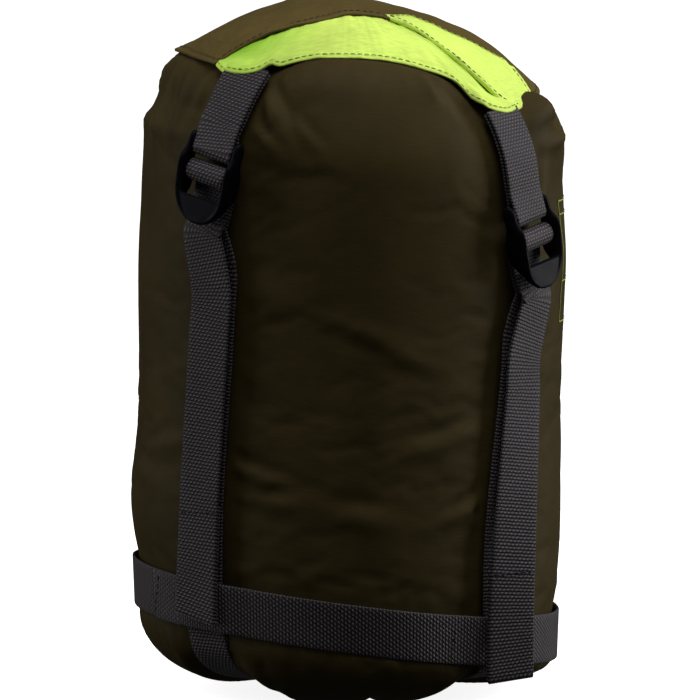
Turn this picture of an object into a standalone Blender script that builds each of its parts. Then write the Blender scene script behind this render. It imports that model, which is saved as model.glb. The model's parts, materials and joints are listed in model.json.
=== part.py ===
"""Compression stuff sack, packed full.

The sack stands on its base at the origin, +Z up, front towards -Y. A fabric tube holds the filling.
Its mouth is cinched by a drawcord and covered by a cap, and four compression straps run from the
cap's corners, through ladderlock buckles, down the sides and across under the base. The ring of
webbing round the base and the cap both slope down towards +X.
"""

import math

import bmesh
import bpy
from mathutils import Matrix, Vector

# Sack, in metres
SACK_RADIUS = 0.107
BASE_TOP = 0.030  # level where the rounded base meets the straight side
FOOT_RADIUS = 0.074  # radius of the flat that the lobes stand on
SHOULDER_Z = 0.270
CROWN_Z = 0.349
ROUNDNESS = 2.1  # exponent of the shoulder's and the base's superellipse
SLOPE = 0.125  # fall of the ring and the cap towards +X
FABRIC = 0.0012  # thickness given to each fabric panel
GAP = 0.0004  # clearance between pieces that touch

# Strap grooves in the base
GROOVE_DEPTH = 0.009
GROOVE_HALF_WIDTH = 0.0185
GROOVE_BLEND = 0.012

BASE_SEGMENTS = 60
FILLING_GAP = 0.001

# Mouth, under the cap
UNDER_CAP = 0.0022  # how far the shoulder sits below the cap's outer face
TUCK_LEVEL = 0.322  # level at which the fabric leaves the cap and turns in to the mouth
MOUTH_LEVEL = 0.325
MOUTH_EDGE = 0.0185  # radius of the panel's gathered edge
HEM_RING_RADIUS = 0.0135
HEM_TUBE_RADIUS = 0.0042
HEM_WALL = 0.0014
HEM_OPENING = math.radians(70)
CORD_RADIUS = 0.0015

# Cord lock, with its axis along X, behind the mouth
LOCK_Y = 0.035
LOCK_RADIUS = 0.006
LOCK_BORE = 0.0042
LOCK_BACK = -0.013
LOCK_FRONT = 0.009
LOCK_FLOOR = 0.0015
LOCK_SLOT = 0.0038  # half length of the cord slot, along X
PLUNGER_RADIUS = 0.0038
PLUNGER_TRAVEL = 0.003
CORD_SPACING = 0.0018  # half the distance between the two runs of cord in the lock

# Cap
CORNER_LEVEL = 0.309  # level of the hem at the corners
CORNER_ANGLES = [math.radians(a) for a in (-45, 56, 131, -121)]
HEM_ARCH = 0.0205  # rise of the hem between two front or two rear straps
ARCH_FROM = (0.14, 0.35)  # shares of that side over which the hem rises, and then falls again
ARCH_TO = (0.77, 0.89)
SIDE_ARCH = 0.006
SEAM_CORNER = math.radians(2.5)  # height of the gusset at its ends, as a turn along the shoulder
SEAM_ARCH = math.radians(33)  # the gusset's seam at its highest
SEAM_GAP = math.radians(1)
PATCH_START = math.radians(19)
PATCH_END = math.radians(76)
PATCH_WIDTH = 0.016
PATCH_MARGIN = math.radians(2.5)

# Webbing and buckles. A strap's azimuth changes between the cap, its buckle and the base.
WEB_WIDTH = 0.025
WEB = 0.0013
RING_LEVEL = 0.042
STRAP_NAMES = ("front_left", "front_right", "rear_right", "rear_left")
CAP_ANGLES = [math.radians(a) for a in (-33, 50, 139, -130)]
BUCKLE_ANGLES = [math.radians(a) for a in (-38, 53, 139, -130)]
FOOT_ANGLES = [math.radians(a) for a in (-41, 45, 139, -135)]
FOOT_BLEND = (0.070, 0.220)  # heights between which a strap leans from its foot to its buckle
BUCKLE_LEVELS = (0.273, 0.258, 0.266, 0.266)  # level of each buckle's upper bar
BUCKLE_HALF_WIDTH = 0.0165
RAIL = 0.0034
BAR_OFFSET = 0.0048  # height of the bars' centres above the fabric
BAR_RADIUS = 0.0019
MIDDLE_BAR = 0.0125  # distance of the middle bar below the upper bar
LOWER_BAR = 0.0250
TAB_END = 0.0375
TAIL_TOP = 0.0395
TAIL_HANG = -0.0010  # the tail's centre, from the radius of the bars' centres
TAIL_ENDS = (0.042, 0.0125, 0.034, 0.028)  # height above the floor of each tail's end
TAIL_ANGLES = [math.radians(a) for a in (-44, 44, 139, -133)]  # azimuth of each tail's end
TAIL_FACINGS = [math.radians(a) for a in (-39, 24, 139, -131)]  # azimuth that the end faces
TAIL_STANDOFFS = (0.0068, 0.0093, 0.0062, 0.0064)  # from the sack's side to the end

COLOURS = {
    "olive": ((0.030, 0.024, 0.011, 1), 0.55),
    "olive_cap": ((0.055, 0.040, 0.016, 1), 0.45),
    "lime": ((0.46, 0.72, 0.06, 1), 0.6),
    "webbing": ((0.045, 0.038, 0.042, 1), 0.8),
    "plastic": ((0.010, 0.011, 0.014, 1), 0.35),
    "steel": ((0.6, 0.6, 0.6, 1), 0.3),
    "filling": ((0.5, 0.5, 0.5, 1), 0.9),
}


# ---------------------------------------------------------------- helpers


def clear_scene():
    for obj in list(bpy.data.objects):
        bpy.data.objects.remove(obj, do_unlink=True)


def material(name, colour):
    base, roughness = COLOURS[colour]
    made = bpy.data.materials.new(name)
    made.use_nodes = True
    shader = made.node_tree.nodes["Principled BSDF"]
    shader.inputs["Base Color"].default_value = base
    shader.inputs["Roughness"].default_value = roughness
    shader.inputs["Metallic"].default_value = 1.0 if colour == "steel" else 0.0
    return made


def add_object(name, data, colour):
    obj = bpy.data.objects.new(name, data)
    bpy.context.scene.collection.objects.link(obj)
    data.materials.append(material(name, colour))
    return obj


def mesh_object(name, points, faces, colour, origin=Vector()):
    """A mesh object with its faces turned outwards; points are in world space."""
    mesh = bpy.data.meshes.new(name)
    mesh.from_pydata([p - origin for p in points], [], faces)
    made = bmesh.new()
    made.from_mesh(mesh)
    bmesh.ops.recalc_face_normals(made, faces=made.faces)
    made.to_mesh(mesh)
    made.free()
    mesh.shade_smooth()
    mesh.set_sharp_from_angle(angle=math.radians(35))
    obj = add_object(name, mesh, colour)
    obj.location = origin
    return obj


def smoothstep(low, high, value):
    t = min(1.0, max(0.0, (value - low) / (high - low)))
    return t * t * (3 - 2 * t)


def steps(start, end, count):
    return [start + (end - start) * k / (count - 1) for k in range(count)]


# ---------------------------------------------------------------- surfaces


def spread(angle, radius, level):
    """World point at an angle from the front; the sack's slope lowers it towards +X."""
    x = radius * math.sin(angle)
    return Vector((x, -radius * math.cos(angle), level - SLOPE * x))


def dome_angle(level):
    """Position along the shoulder's quarter superellipse, 0 at its foot and pi/2 at the crown."""
    height = min(1.0, max(0.0, (level - SHOULDER_Z) / (CROWN_Z - SHOULDER_Z)))
    return math.asin(height ** (ROUNDNESS / 2))


def dome(angle, turn, offset=0.0):
    """Point of the shoulder's surface at a position along its superellipse."""
    power = 2 / ROUNDNESS
    radius = SACK_RADIUS * max(0.0, math.cos(turn)) ** power
    level = SHOULDER_Z + (CROWN_Z - SHOULDER_Z) * math.sin(turn) ** power
    out = Vector((math.cos(turn) / SACK_RADIUS, math.sin(turn) / (CROWN_Z - SHOULDER_Z)))
    out.normalize()
    return spread(angle, radius + offset * out.x, level + offset * out.y)


def shoulder(angle, turn, offset=0.0):
    """The sack's own fabric: it follows the dome, then runs in nearly flat to the mouth."""
    tuck = UNDER_CAP * smoothstep(dome_angle(0.285), dome_angle(0.305), turn)
    point = dome(angle, turn, offset - tuck)
    dome_level = SHOULDER_Z + (CROWN_Z - SHOULDER_Z) * math.sin(turn) ** (2 / ROUNDNESS)
    start = dome_angle(TUCK_LEVEL)
    point.z -= (dome_level - MOUTH_LEVEL) * smoothstep(start, start + 0.45, turn)
    return point


def strap_distance(angle, radius):
    """Distance of a point from the nearer of the two lines the straps take across the base."""
    return min(abs(radius * math.sin(angle - a)) for a in FOOT_ANGLES[:2])


def base(angle, turn, offset=0.0, lobed=True):
    """Point of the base: turn 0 at the side, 1 at the edge of the flat, 2 at the centre."""
    power = 2 / ROUNDNESS
    if turn <= 1:
        swing = turn * math.pi / 2
        radius = FOOT_RADIUS + (SACK_RADIUS - FOOT_RADIUS) * max(0.0, math.cos(swing)) ** power
        level = BASE_TOP * (1 - math.sin(swing) ** power)
        out = Vector((math.cos(swing), -math.sin(swing)))
    else:
        radius = FOOT_RADIUS * (2 - turn)
        level = 0.0
        out = Vector((0.0, -1.0))
    edge = GROOVE_HALF_WIDTH + GROOVE_BLEND
    lobe = smoothstep(GROOVE_HALF_WIDTH, edge, strap_distance(angle, radius)) if lobed else 0
    radius += offset * out.x
    x = radius * math.sin(angle)
    height = level * (BASE_TOP - SLOPE * x) / BASE_TOP + offset * out.y
    height += GROOVE_DEPTH * (1 - lobe) * (1 - level / BASE_TOP)
    return Vector((x, -radius * math.cos(angle), height))


def side(angle, level, offset=0.0):
    return spread(angle, SACK_RADIUS + offset, level)


# ---------------------------------------------------------------- solids


def ring_faces(outer, inner, count, closed=True):
    """Faces joining rows of points into a shell: rows outside, rows inside and the two rims."""
    faces = []
    rows = len(outer)
    steps_round = count if closed else count - 1
    for j in range(steps_round):
        k = (j + 1) % count
        for i in range(rows - 1):
            faces.append((outer[i][j], outer[i][k], outer[i + 1][k], outer[i + 1][j]))
            faces.append((inner[i][j], inner[i + 1][j], inner[i + 1][k], inner[i][k]))
        faces.append((outer[0][j], inner[0][j], inner[0][k], outer[0][k]))
        faces.append((outer[-1][j], outer[-1][k], inner[-1][k], inner[-1][j]))
    if not closed:
        for i in range(rows - 1):
            for j, flip in ((0, False), (count - 1, True)):
                face = (outer[i][j], outer[i + 1][j], inner[i + 1][j], inner[i][j])
                faces.append(face[::-1] if flip else face)
    return faces


def shell(name, rows, angles, surface, colour, closed=True, thickness=FABRIC):
    """A fabric shell. surface(angle, row, offset) gives the point; rows run from edge to edge."""
    points = []
    index = {0: [], 1: []}
    for depth in (0, 1):
        for row in rows:
            index[depth].append(range(len(points), len(points) + len(angles)))
            points += [surface(a, row, -thickness * depth) for a in angles]
    return mesh_object(name, points, ring_faces(index[0], index[1], len(angles), closed), colour)


def capped_shell(name, rows, angles, surface, crown, colour, thickness=FABRIC):
    """A shell that closes over a pole; crown(offset) gives the pole."""
    points = []
    index = {0: [], 1: []}
    poles = []
    for depth in (0, 1):
        for row in rows:
            index[depth].append(range(len(points), len(points) + len(angles)))
            points += [surface(a, row, -thickness * depth) for a in angles]
        poles.append(len(points))
        points.append(crown(-thickness * depth))
    count = len(angles)
    faces = []
    for j in range(count):
        k = (j + 1) % count
        for i in range(len(rows) - 1):
            faces.append((index[0][i][j], index[0][i][k], index[0][i + 1][k], index[0][i + 1][j]))
            faces.append((index[1][i][j], index[1][i + 1][j], index[1][i + 1][k], index[1][i][k]))
        faces.append((index[0][0][j], index[1][0][j], index[1][0][k], index[0][0][k]))
        faces.append((index[0][-1][j], index[0][-1][k], poles[0]))
        faces.append((index[1][-1][k], index[1][-1][j], poles[1]))
    return mesh_object(name, points, faces, colour)


def webbing(name, path, origin=Vector(), slopes=None, facings=None):
    """A flat band of webbing along a path of (azimuth, radius, height) points.

    slopes gives, for each point, how much of the sack's slope the band takes across its width, and
    facings the azimuth that the band faces, where that isn't its own azimuth.
    """
    slopes = slopes or [0.0] * len(path)
    facings = facings or [angle for angle, _, _ in path]
    centres = [Vector((r * math.sin(a), -r * math.cos(a), z)) for a, r, z in path]
    points = []
    for k, centre in enumerate(centres):
        along = (centres[min(len(path) - 1, k + 1)] - centres[max(0, k - 1)]).normalized()
        width = Vector((math.cos(facings[k]), math.sin(facings[k]), 0))
        width.z = -SLOPE * width.x * slopes[k]
        width = (width - along * width.dot(along)).normalized()
        out = width.cross(along)
        for sign in (1, -1):
            middle = centre + sign * out * WEB / 2
            points.append(middle + width * WEB_WIDTH / 2)
            points.append(middle - width * WEB_WIDTH / 2)
    faces = [(0, 1, 3, 2)]
    last = len(points) - 4
    faces.append((last, last + 2, last + 3, last + 1))
    for k in range(len(path) - 1):
        a = 4 * k
        b = a + 4
        for p, q in ((0, 2), (2, 3), (3, 1), (1, 0)):
            faces.append((a + p, a + q, b + q, b + p))
    return mesh_object(name, points, faces, "webbing", origin)


def union(target, pieces):
    """Joins overlapping pieces into one closed body."""
    bpy.context.view_layer.update()
    for piece in pieces:
        joined = target.modifiers.new("join", "BOOLEAN")
        joined.operation = "UNION"
        joined.object = piece
        piece.hide_render = True
        piece.display_type = "WIRE"
    return target


def cut(target, pieces):
    for piece in pieces:
        removed = target.modifiers.new("cut", "BOOLEAN")
        removed.operation = "DIFFERENCE"
        removed.object = piece
        piece.hide_render = True
        piece.display_type = "WIRE"
    return target


def cylinder_x(name, start, end, radius, centre, colour, sides=24):
    """A cylinder along X between two positions relative to centre."""
    points = []
    for x in (start, end):
        for k in range(sides):
            turn = 2 * math.pi * k / sides
            points.append(centre + Vector((x, radius * math.cos(turn), radius * math.sin(turn))))
    faces = [tuple(range(sides)), tuple(range(2 * sides - 1, sides - 1, -1))]
    for k in range(sides):
        j = (k + 1) % sides
        faces.append((k, sides + k, sides + j, j))
    return mesh_object(name, points, faces, colour)


def block(name, low, high, colour):
    points = [Vector((x, y, z)) for x in (low[0], high[0]) for y in (low[1], high[1]) for z in (low[2], high[2])]
    faces = [(0, 1, 3, 2), (4, 6, 7, 5), (0, 4, 5, 1), (2, 3, 7, 6), (0, 2, 6, 4), (1, 5, 7, 3)]
    return mesh_object(name, points, faces, colour)


def cord(name, points, radius, colour, cyclic=False):
    curve = bpy.data.curves.new(name, "CURVE")
    curve.dimensions = "3D"
    curve.bevel_depth = radius
    curve.bevel_resolution = 2
    curve.use_fill_caps = not cyclic
    spline = curve.splines.new("POLY")
    spline.points.add(len(points) - 1)
    for target, point in zip(spline.points, points):
        target.co = (*point, 1)
    spline.use_cyclic_u = cyclic
    return add_object(name, curve, colour)


def full_turn(count):
    return [2 * math.pi * k / count for k in range(count)]


# ---------------------------------------------------------------- sack


def body_row(angle, row, offset=0.0):
    """Rows of the body panel: 0 to 1 up the straight side, 1 to 2 over the shoulder to the mouth."""
    if row <= 1:
        return side(angle, BASE_TOP + GAP + (SHOULDER_Z - BASE_TOP - GAP) * row, offset)
    end = math.acos((MOUTH_EDGE / SACK_RADIUS) ** (ROUNDNESS / 2))
    return shoulder(angle, (row - 1) * end, offset)


def make_body_panel():
    rows = [0, 0.5, 1] + [1 + t for t in steps(0.1, 1, 10)]
    shell("body_panel", rows, full_turn(48), body_row, "olive")


def base_rows():
    return steps(0, 1, 6) + [1.15, 1.35, 1.55, 1.75, 1.9]


def make_base_panel():
    capped_shell(
        "base_panel",
        base_rows(),
        full_turn(BASE_SEGMENTS),
        base,
        lambda offset: Vector((0, 0, GROOVE_DEPTH - offset)),
        "olive",
    )


def make_filling():
    inset = -(FABRIC + FILLING_GAP)
    angles = full_turn(36)
    points = [Vector((0, 0, GROOVE_DEPTH - inset))]
    rows = [[base(a, turn, inset, lobed=False) for a in angles] for turn in (1.5, 1, 0.7, 0.4, 0.1)]
    inset = -(FABRIC + 3 * GAP)
    for level in (0.036, 0.15, 0.265):
        rows.append([side(a, level, inset) for a in angles])
    for turn in steps(0.15, 1.4, 8):
        rows.append([shoulder(a, turn, inset) for a in angles])
    for row in rows:
        points += row
    points.append(shoulder(0, math.pi / 2, inset - 0.002))
    count = len(angles)
    faces = []
    top = len(points) - 1
    for j in range(count):
        k = (j + 1) % count
        faces.append((0, 1 + k, 1 + j))
        for i in range(len(rows) - 1):
            a = 1 + i * count
            b = a + count
            faces.append((a + j, a + k, b + k, b + j))
        a = 1 + (len(rows) - 1) * count
        faces.append((a + j, a + k, top))
    mesh_object("packed_filling", points, faces, "filling")


def make_ring():
    """The webbing sewn round the sack above its base, over the compression webbing."""
    low = RING_LEVEL - WEB_WIDTH / 2
    half = WEB_WIDTH / 2
    under = math.hypot(SACK_RADIUS + GAP + WEB, half) + 1.5 * GAP

    def surface(angle, row, offset):
        return spread(angle, under + WEB + offset, low + WEB_WIDTH * row)

    shell("base_ring_webbing", [0, 0.5, 1], full_turn(60), surface, "webbing", thickness=WEB)


# ---------------------------------------------------------------- mouth


def mouth_height():
    edge = math.acos((MOUTH_EDGE / SACK_RADIUS) ** (ROUNDNESS / 2))
    return shoulder(0, edge).z + HEM_TUBE_RADIUS * 0.85


def make_mouth_hem():
    """An open-ended fabric channel round the mouth, which the drawcord runs in."""
    height = mouth_height()
    arc = steps(math.pi + HEM_OPENING / 2, 3 * math.pi - HEM_OPENING / 2, 21)

    def surface(turn, angle, offset):
        radius = HEM_TUBE_RADIUS + offset
        ring = HEM_RING_RADIUS + radius * math.cos(turn)
        x = ring * math.sin(angle)
        return Vector((x, -ring * math.cos(angle), height + radius * math.sin(turn) - SLOPE * x))

    shell("mouth_hem", arc, full_turn(10), surface, "olive", thickness=HEM_WALL)


def lock_centre():
    rise = -SLOPE * LOCK_BACK
    return Vector((0, LOCK_Y, MOUTH_LEVEL + rise + LOCK_RADIUS + GAP))


def make_drawcord():
    """A closed loop: round the mouth in its hem, out through the lock and back in a small bight."""
    height = mouth_height()
    lock = lock_centre()
    ring = []
    for angle in steps(math.pi + HEM_OPENING / 3, 3 * math.pi - HEM_OPENING / 3, 30):
        x = HEM_RING_RADIUS * math.sin(angle)
        ring.append(Vector((x, -HEM_RING_RADIUS * math.cos(angle), height - SLOPE * x)))
    out_y = LOCK_Y + LOCK_RADIUS
    run = []
    for y, x, share in (
        (0.0180, 0.0040, 0.20),
        (0.0215, 0.0024, 0.55),
        (0.0250, CORD_SPACING, 0.88),
        (0.0280, CORD_SPACING, 1.0),
        (LOCK_Y, CORD_SPACING, 1.0),
        (out_y + 0.001, CORD_SPACING, 1.0),
        (out_y + 0.004, 0.0030, 1.0),
        (out_y + 0.007, 0.0042, 0.95),
        (out_y + 0.010, 0.0040, 0.85),
        (out_y + 0.012, 0.0024, 0.80),
    ):
        run.append((x, y, height + (lock.z - height) * share))
    right = [Vector(p) for p in run]
    left = [Vector((-x, y, z)) for x, y, z in reversed(run)]
    cord("drawcord", ring + right + left, CORD_RADIUS, "webbing", cyclic=True)


def make_cord_lock():
    centre = lock_centre()
    barrel = cylinder_x("cord_lock_barrel", LOCK_BACK, LOCK_FRONT, LOCK_RADIUS, centre, "plastic")
    bore = cylinder_x("lock_bore", LOCK_BACK + LOCK_FLOOR, LOCK_FRONT + 0.002, LOCK_BORE, centre, "plastic")
    slot = block(
        "lock_slot",
        centre + Vector((-LOCK_SLOT, -0.01, -CORD_RADIUS - GAP)),
        centre + Vector((LOCK_SLOT, 0.01, CORD_RADIUS + GAP)),
        "plastic",
    )
    cut(barrel, [bore, slot])
    inner_end = -0.006
    plunger = cylinder_x("cord_lock_plunger", inner_end, LOCK_FRONT + 0.005, PLUNGER_RADIUS, centre, "plastic")
    slot = block(
        "plunger_slot",
        centre + Vector((-LOCK_SLOT, -0.01, -CORD_RADIUS - GAP)),
        centre + Vector((LOCK_SLOT + PLUNGER_TRAVEL, 0.01, CORD_RADIUS + GAP)),
        "plastic",
    )
    cut(plunger, [slot])
    start = LOCK_BACK + LOCK_FLOOR + 0.0007
    end = inner_end - 0.0007
    turns = 3
    helix = []
    for k in range(turns * 12 + 1):
        turn = 2 * math.pi * k / 12
        x = start + (end - start) * k / (turns * 12)
        helix.append(centre + Vector((x, 0.0028 * math.cos(turn), 0.0028 * math.sin(turn))))
    cord("cord_lock_spring", helix, 0.0003, "steel")


# ---------------------------------------------------------------- cap


def side_share(angle):
    """Which side of the cap an angle lies on, and how far along that side it is, 0 to 1."""
    corners = [CORNER_ANGLES[3], CORNER_ANGLES[0], CORNER_ANGLES[1], CORNER_ANGLES[2]]
    turn = (angle - corners[0]) % (2 * math.pi)
    bounds = [0.0]
    for k in range(1, 4):
        bounds.append((corners[k] - corners[0]) % (2 * math.pi))
    bounds.append(2 * math.pi)
    for k, name in enumerate(("left", "front", "right", "rear")):
        if turn <= bounds[k + 1]:
            return name, (turn - bounds[k]) / (bounds[k + 1] - bounds[k])
    return "left", 0.0


def hem_level(angle):
    name, share = side_share(angle)
    if name in ("front", "rear"):
        return CORNER_LEVEL + HEM_ARCH * smoothstep(*ARCH_FROM, share) * (1 - smoothstep(*ARCH_TO, share))
    return CORNER_LEVEL + SIDE_ARCH * math.sin(math.pi * share)


def hem_turn(angle):
    return dome_angle(hem_level(angle))


def seam_turn(angle):
    """Place along the shoulder of the seam between a gusset and the top panel."""
    name, share = side_share(angle)
    if name in ("front", "rear"):
        rise = SEAM_CORNER + (SEAM_ARCH - SEAM_CORNER) * math.sin(math.pi * share)
        return dome_angle(CORNER_LEVEL) + rise
    return hem_turn(angle)


def gusset(name, start, end, colour):
    """The crescent between the hem and the top panel's seam."""

    def surface(angle, row, offset):
        low = hem_turn(angle)
        high = seam_turn(angle) - SEAM_GAP
        return dome(angle, low + (high - low) * row, offset)

    inset = math.radians(3.5)
    angles = steps(start + inset, end - inset, 23)
    shell(name, steps(0, 1, 4), angles, surface, colour, closed=False)


def make_top_panel():
    def surface(angle, row, offset):
        low = seam_turn(angle)
        return dome(angle, low + (math.pi / 2 - low) * row, offset)

    rows = [0, 0.15, 0.35, 0.55, 0.75, 0.9]
    crown = Vector((0, 0, CROWN_Z))
    capped_shell(
        "cap_top_panel",
        rows,
        full_turn(56),
        surface,
        lambda offset: crown + Vector((0, 0, offset)),
        "olive_cap",
    )


def make_patch():
    """The contrasting crescent sewn on the top panel along its front right edge."""

    def surface(angle, row, offset):
        share = (angle - PATCH_START) / (PATCH_END - PATCH_START)
        width = PATCH_WIDTH * (0.25 + 0.75 * math.sin(math.pi * min(1, share + 0.12)) ** 0.7)
        low = seam_turn(angle) + PATCH_MARGIN
        return dome(angle, low + width * row / SACK_RADIUS * 1.25, offset + FABRIC + GAP)

    angles = steps(PATCH_START, PATCH_END, 15)
    shell("cap_patch", steps(0, 1, 4), angles, surface, "lime", closed=False, thickness=0.0008)


# ---------------------------------------------------------------- straps


def strap_angle(index, height):
    """Azimuth of a strap's centre line at a height between its foot and its buckle."""
    foot, buckle = FOOT_ANGLES[index], BUCKLE_ANGLES[index]
    return foot + (buckle - foot) * smoothstep(*FOOT_BLEND, height)


def skin_point(angle, level, offset):
    """(azimuth, radius, height) of a point at an offset from the skin."""
    if level > SHOULDER_Z:
        point = dome(angle, dome_angle(level), offset)
    else:
        point = side(angle, level, offset)
    return angle, math.hypot(point.x, point.y), point.z


def buckle_place(index):
    """Azimuth, radius and height of a buckle's upper bar."""
    return skin_point(BUCKLE_ANGLES[index], BUCKLE_LEVELS[index], BAR_OFFSET)


def buckle_origin(index):
    angle, radius, height = buckle_place(index)
    return Vector((radius * math.sin(angle), -radius * math.cos(angle), height))


def make_upper_strap(index):
    """A doubled strap from the cap's corner, looped round the buckle's upper bar."""
    level = BUCKLE_LEVELS[index]
    top = CORNER_LEVEL + 0.001
    angle, radius, height = buckle_place(index)
    reach = BAR_RADIUS + GAP + WEB / 2

    def layer(start, end, offset):
        points = []
        for z in steps(start, end, 8):
            share = smoothstep(level + 0.008, top, z)
            points.append(skin_point(angle + (CAP_ANGLES[index] - angle) * share, z, offset))
        return points

    loop = []
    for turn in steps(math.radians(200), math.radians(385), 10):
        loop.append((angle, radius + reach * math.cos(turn), height + reach * math.sin(turn)))
    inner = layer(top, level + 0.006, 2 * GAP + WEB / 2)
    path = inner + loop + layer(level + 0.009, top, 3 * GAP + 1.5 * WEB)
    slopes = [smoothstep(height + 0.008, height + 0.03, z) for _, _, z in path]
    webbing("upper_strap_" + STRAP_NAMES[index], path, slopes=slopes)


def local_frame(index):
    """Matrix from a buckle's own axes (across, down, outward) to world space."""
    angle = BUCKLE_ANGLES[index]
    across = Vector((math.cos(angle), math.sin(angle), 0))
    down = Vector((0, 0, -1))
    out = Vector((math.sin(angle), -math.cos(angle), 0))
    turn = Matrix((across, down, out)).transposed().to_4x4()
    return Matrix.Translation(buckle_origin(index)) @ turn


def prism(name, outline, start, end, frame, colour="plastic"):
    """An outline of (down, outward) pairs, extruded across between two positions."""
    points = []
    for u in (start, end):
        points += [frame @ Vector((u, v, w)) for v, w in outline]
    count = len(outline)
    faces = [tuple(range(count)), tuple(range(2 * count - 1, count - 1, -1))]
    for k in range(count):
        j = (k + 1) % count
        faces.append((k, count + k, count + j, j))
    return mesh_object(name, points, faces, colour)


def round_outline(centre_v, centre_w, radius, sides=12, squash=1.0):
    pairs = []
    for turn in full_turn(sides):
        pairs.append((centre_v + radius * math.cos(turn), centre_w + squash * radius * math.sin(turn)))
    return pairs


def rail_outline():
    """Side view of a rail: ears round the upper bar, a step, and the raised lower part."""
    return [
        (-0.0030, -0.0022), (-0.0036, 0.0005), (-0.0028, 0.0024), (0.0020, 0.0034), (0.0065, 0.0048),
        (0.0110, 0.0058), (0.0200, 0.0062), (0.0265, 0.0058), (0.0290, 0.0036), (0.0290, 0.0004),
        (0.0270, -0.0012), (0.0160, -0.0022), (0.0040, -0.0032), (0.0005, -0.0034),
    ]  # fmt: skip


def make_buckle(index):
    """A ladderlock: two rails, an upper and a middle bar, and a lower bar with the thumb tab."""
    name = STRAP_NAMES[index]
    frame = local_frame(index)
    half = BUCKLE_HALF_WIDTH
    body = prism("buckle_" + name, rail_outline(), -half, -half + RAIL, frame)
    rail = prism("rail_" + name, rail_outline(), half - RAIL, half, frame)
    inset = RAIL / 2
    bars = []
    for label, v, w in (("upper", 0.0, 0.0), ("middle", MIDDLE_BAR, 0.0008)):
        outline = round_outline(v, w, BAR_RADIUS)
        bars.append(prism(label + "_bar_" + name, outline, -half + inset, half - inset, frame))
    lower = [
        (LOWER_BAR - 0.0022, 0.0030), (LOWER_BAR + 0.0022, 0.0022),
        (LOWER_BAR + 0.0028, 0.0052), (LOWER_BAR - 0.0018, 0.0056),
    ]  # fmt: skip
    bars.append(prism("lower_bar_" + name, lower, -half + inset, half - inset, frame))
    points = []
    arc = steps(0, math.pi, 13)
    reach = TAB_END - LOWER_BAR
    for lift in (0.0030, 0.0054):
        for turn in arc:
            v = LOWER_BAR + reach * math.sin(turn)
            points.append(frame @ Vector(((half - 0.001) * math.cos(turn), v, lift + 0.12 * (v - LOWER_BAR))))
    count = len(arc)
    faces = [tuple(range(count)), tuple(range(2 * count - 1, count - 1, -1))]
    for k in range(count):
        j = (k + 1) % count
        faces.append((k, count + k, count + j, j))
    bars.append(mesh_object("tab_" + name, points, faces, "plastic"))
    union(body, [rail] + bars)
    origin = buckle_origin(index)
    body.data.transform(Matrix.Translation(-origin))
    body.location = origin


def make_wrap(index):
    """The compression webbing where it passes up behind the buckle and over the middle bar."""
    angle, radius, height = buckle_place(index)
    back = -BAR_OFFSET + GAP + WEB / 2
    reach = BAR_RADIUS + GAP + WEB / 2
    bar = MIDDLE_BAR
    local = [(TAIL_TOP - 0.0025, back), (0.022, back), (bar + 0.002, back), (bar - 0.0022, back + 0.0005)]
    for turn in steps(math.radians(215), math.radians(20), 9):
        local.append((bar + reach * math.cos(turn), 0.0008 + reach * math.sin(turn)))
    local += [
        (LOWER_BAR - 0.0075, -0.0003), (LOWER_BAR - 0.0045, -0.0010),
        (LOWER_BAR + 0.0020, -0.0010), (TAIL_TOP - 0.0025, -0.0010),
    ]  # fmt: skip
    path = [(angle, radius + w, height - v) for v, w in local]
    webbing("webbing_wrap_" + STRAP_NAMES[index], path)


def make_tail(index):
    """The free end, which hangs below the tab, swings to its own azimuth and may turn to the front."""
    angle, radius, height = buckle_place(index)
    top = height - TAIL_TOP
    end = TAIL_ENDS[index]
    start = radius + TAIL_HANG
    reach = SACK_RADIUS + TAIL_STANDOFFS[index]
    path = []
    facings = []
    for z in steps(top, end, 12):
        share = (top - z) / (top - end)
        swing = smoothstep(0.0, 0.95, share)
        azimuth = angle + (TAIL_ANGLES[index] - angle) * swing
        path.append((azimuth, start + (reach - start) * smoothstep(0.1, 0.75, share), z))
        facings.append(angle + (TAIL_FACINGS[index] - angle) * swing)
    origin = Vector((start * math.sin(angle), -start * math.cos(angle), top))
    webbing("webbing_tail_" + STRAP_NAMES[index], path, origin=origin, facings=facings)


def make_compression_webbing(name, index, lift):
    """One strap from a buckle, down the side and under the base, to the opposite buckle."""

    def half(which):
        height = buckle_place(which)[2]
        foot = FOOT_ANGLES[which]
        offset = GAP + WEB / 2
        points = []
        for z in steps(height - TAIL_TOP, BASE_TOP + 0.01 - SLOPE * SACK_RADIUS * math.sin(foot), 9):
            points.append((strap_angle(which, z), SACK_RADIUS + offset, z))
        for turn in steps(0.0, 1, 7) + [1.2, 1.45, 1.7, 1.9]:
            extra = lift * smoothstep(1.0, 1.6, turn)
            point = base(foot, turn, offset + extra)
            points.append((foot, math.hypot(point.x, point.y), point.z))
        return points

    near = half(index)
    far = [(angle - math.pi, -radius, height) for angle, radius, height in reversed(half(index + 2))]
    slopes = [smoothstep(GROOVE_DEPTH, BASE_TOP, height) for _, _, height in near + far]
    webbing(name, near + far, slopes=slopes)


# ---------------------------------------------------------------- assembly


def main():
    clear_scene()
    make_filling()
    make_body_panel()
    make_base_panel()
    make_ring()
    make_mouth_hem()
    make_drawcord()
    make_cord_lock()
    make_top_panel()
    gusset("cap_front_gusset", CORNER_ANGLES[0], CORNER_ANGLES[1], "lime")
    gusset("cap_rear_gusset", CORNER_ANGLES[2], CORNER_ANGLES[3] + 2 * math.pi, "lime")
    make_patch()
    make_compression_webbing("compression_webbing_a", 0, 0.0)
    make_compression_webbing("compression_webbing_b", 1, WEB + GAP)
    for index in range(len(STRAP_NAMES)):
        make_upper_strap(index)
        make_buckle(index)
        make_wrap(index)
        make_tail(index)


main()
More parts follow.
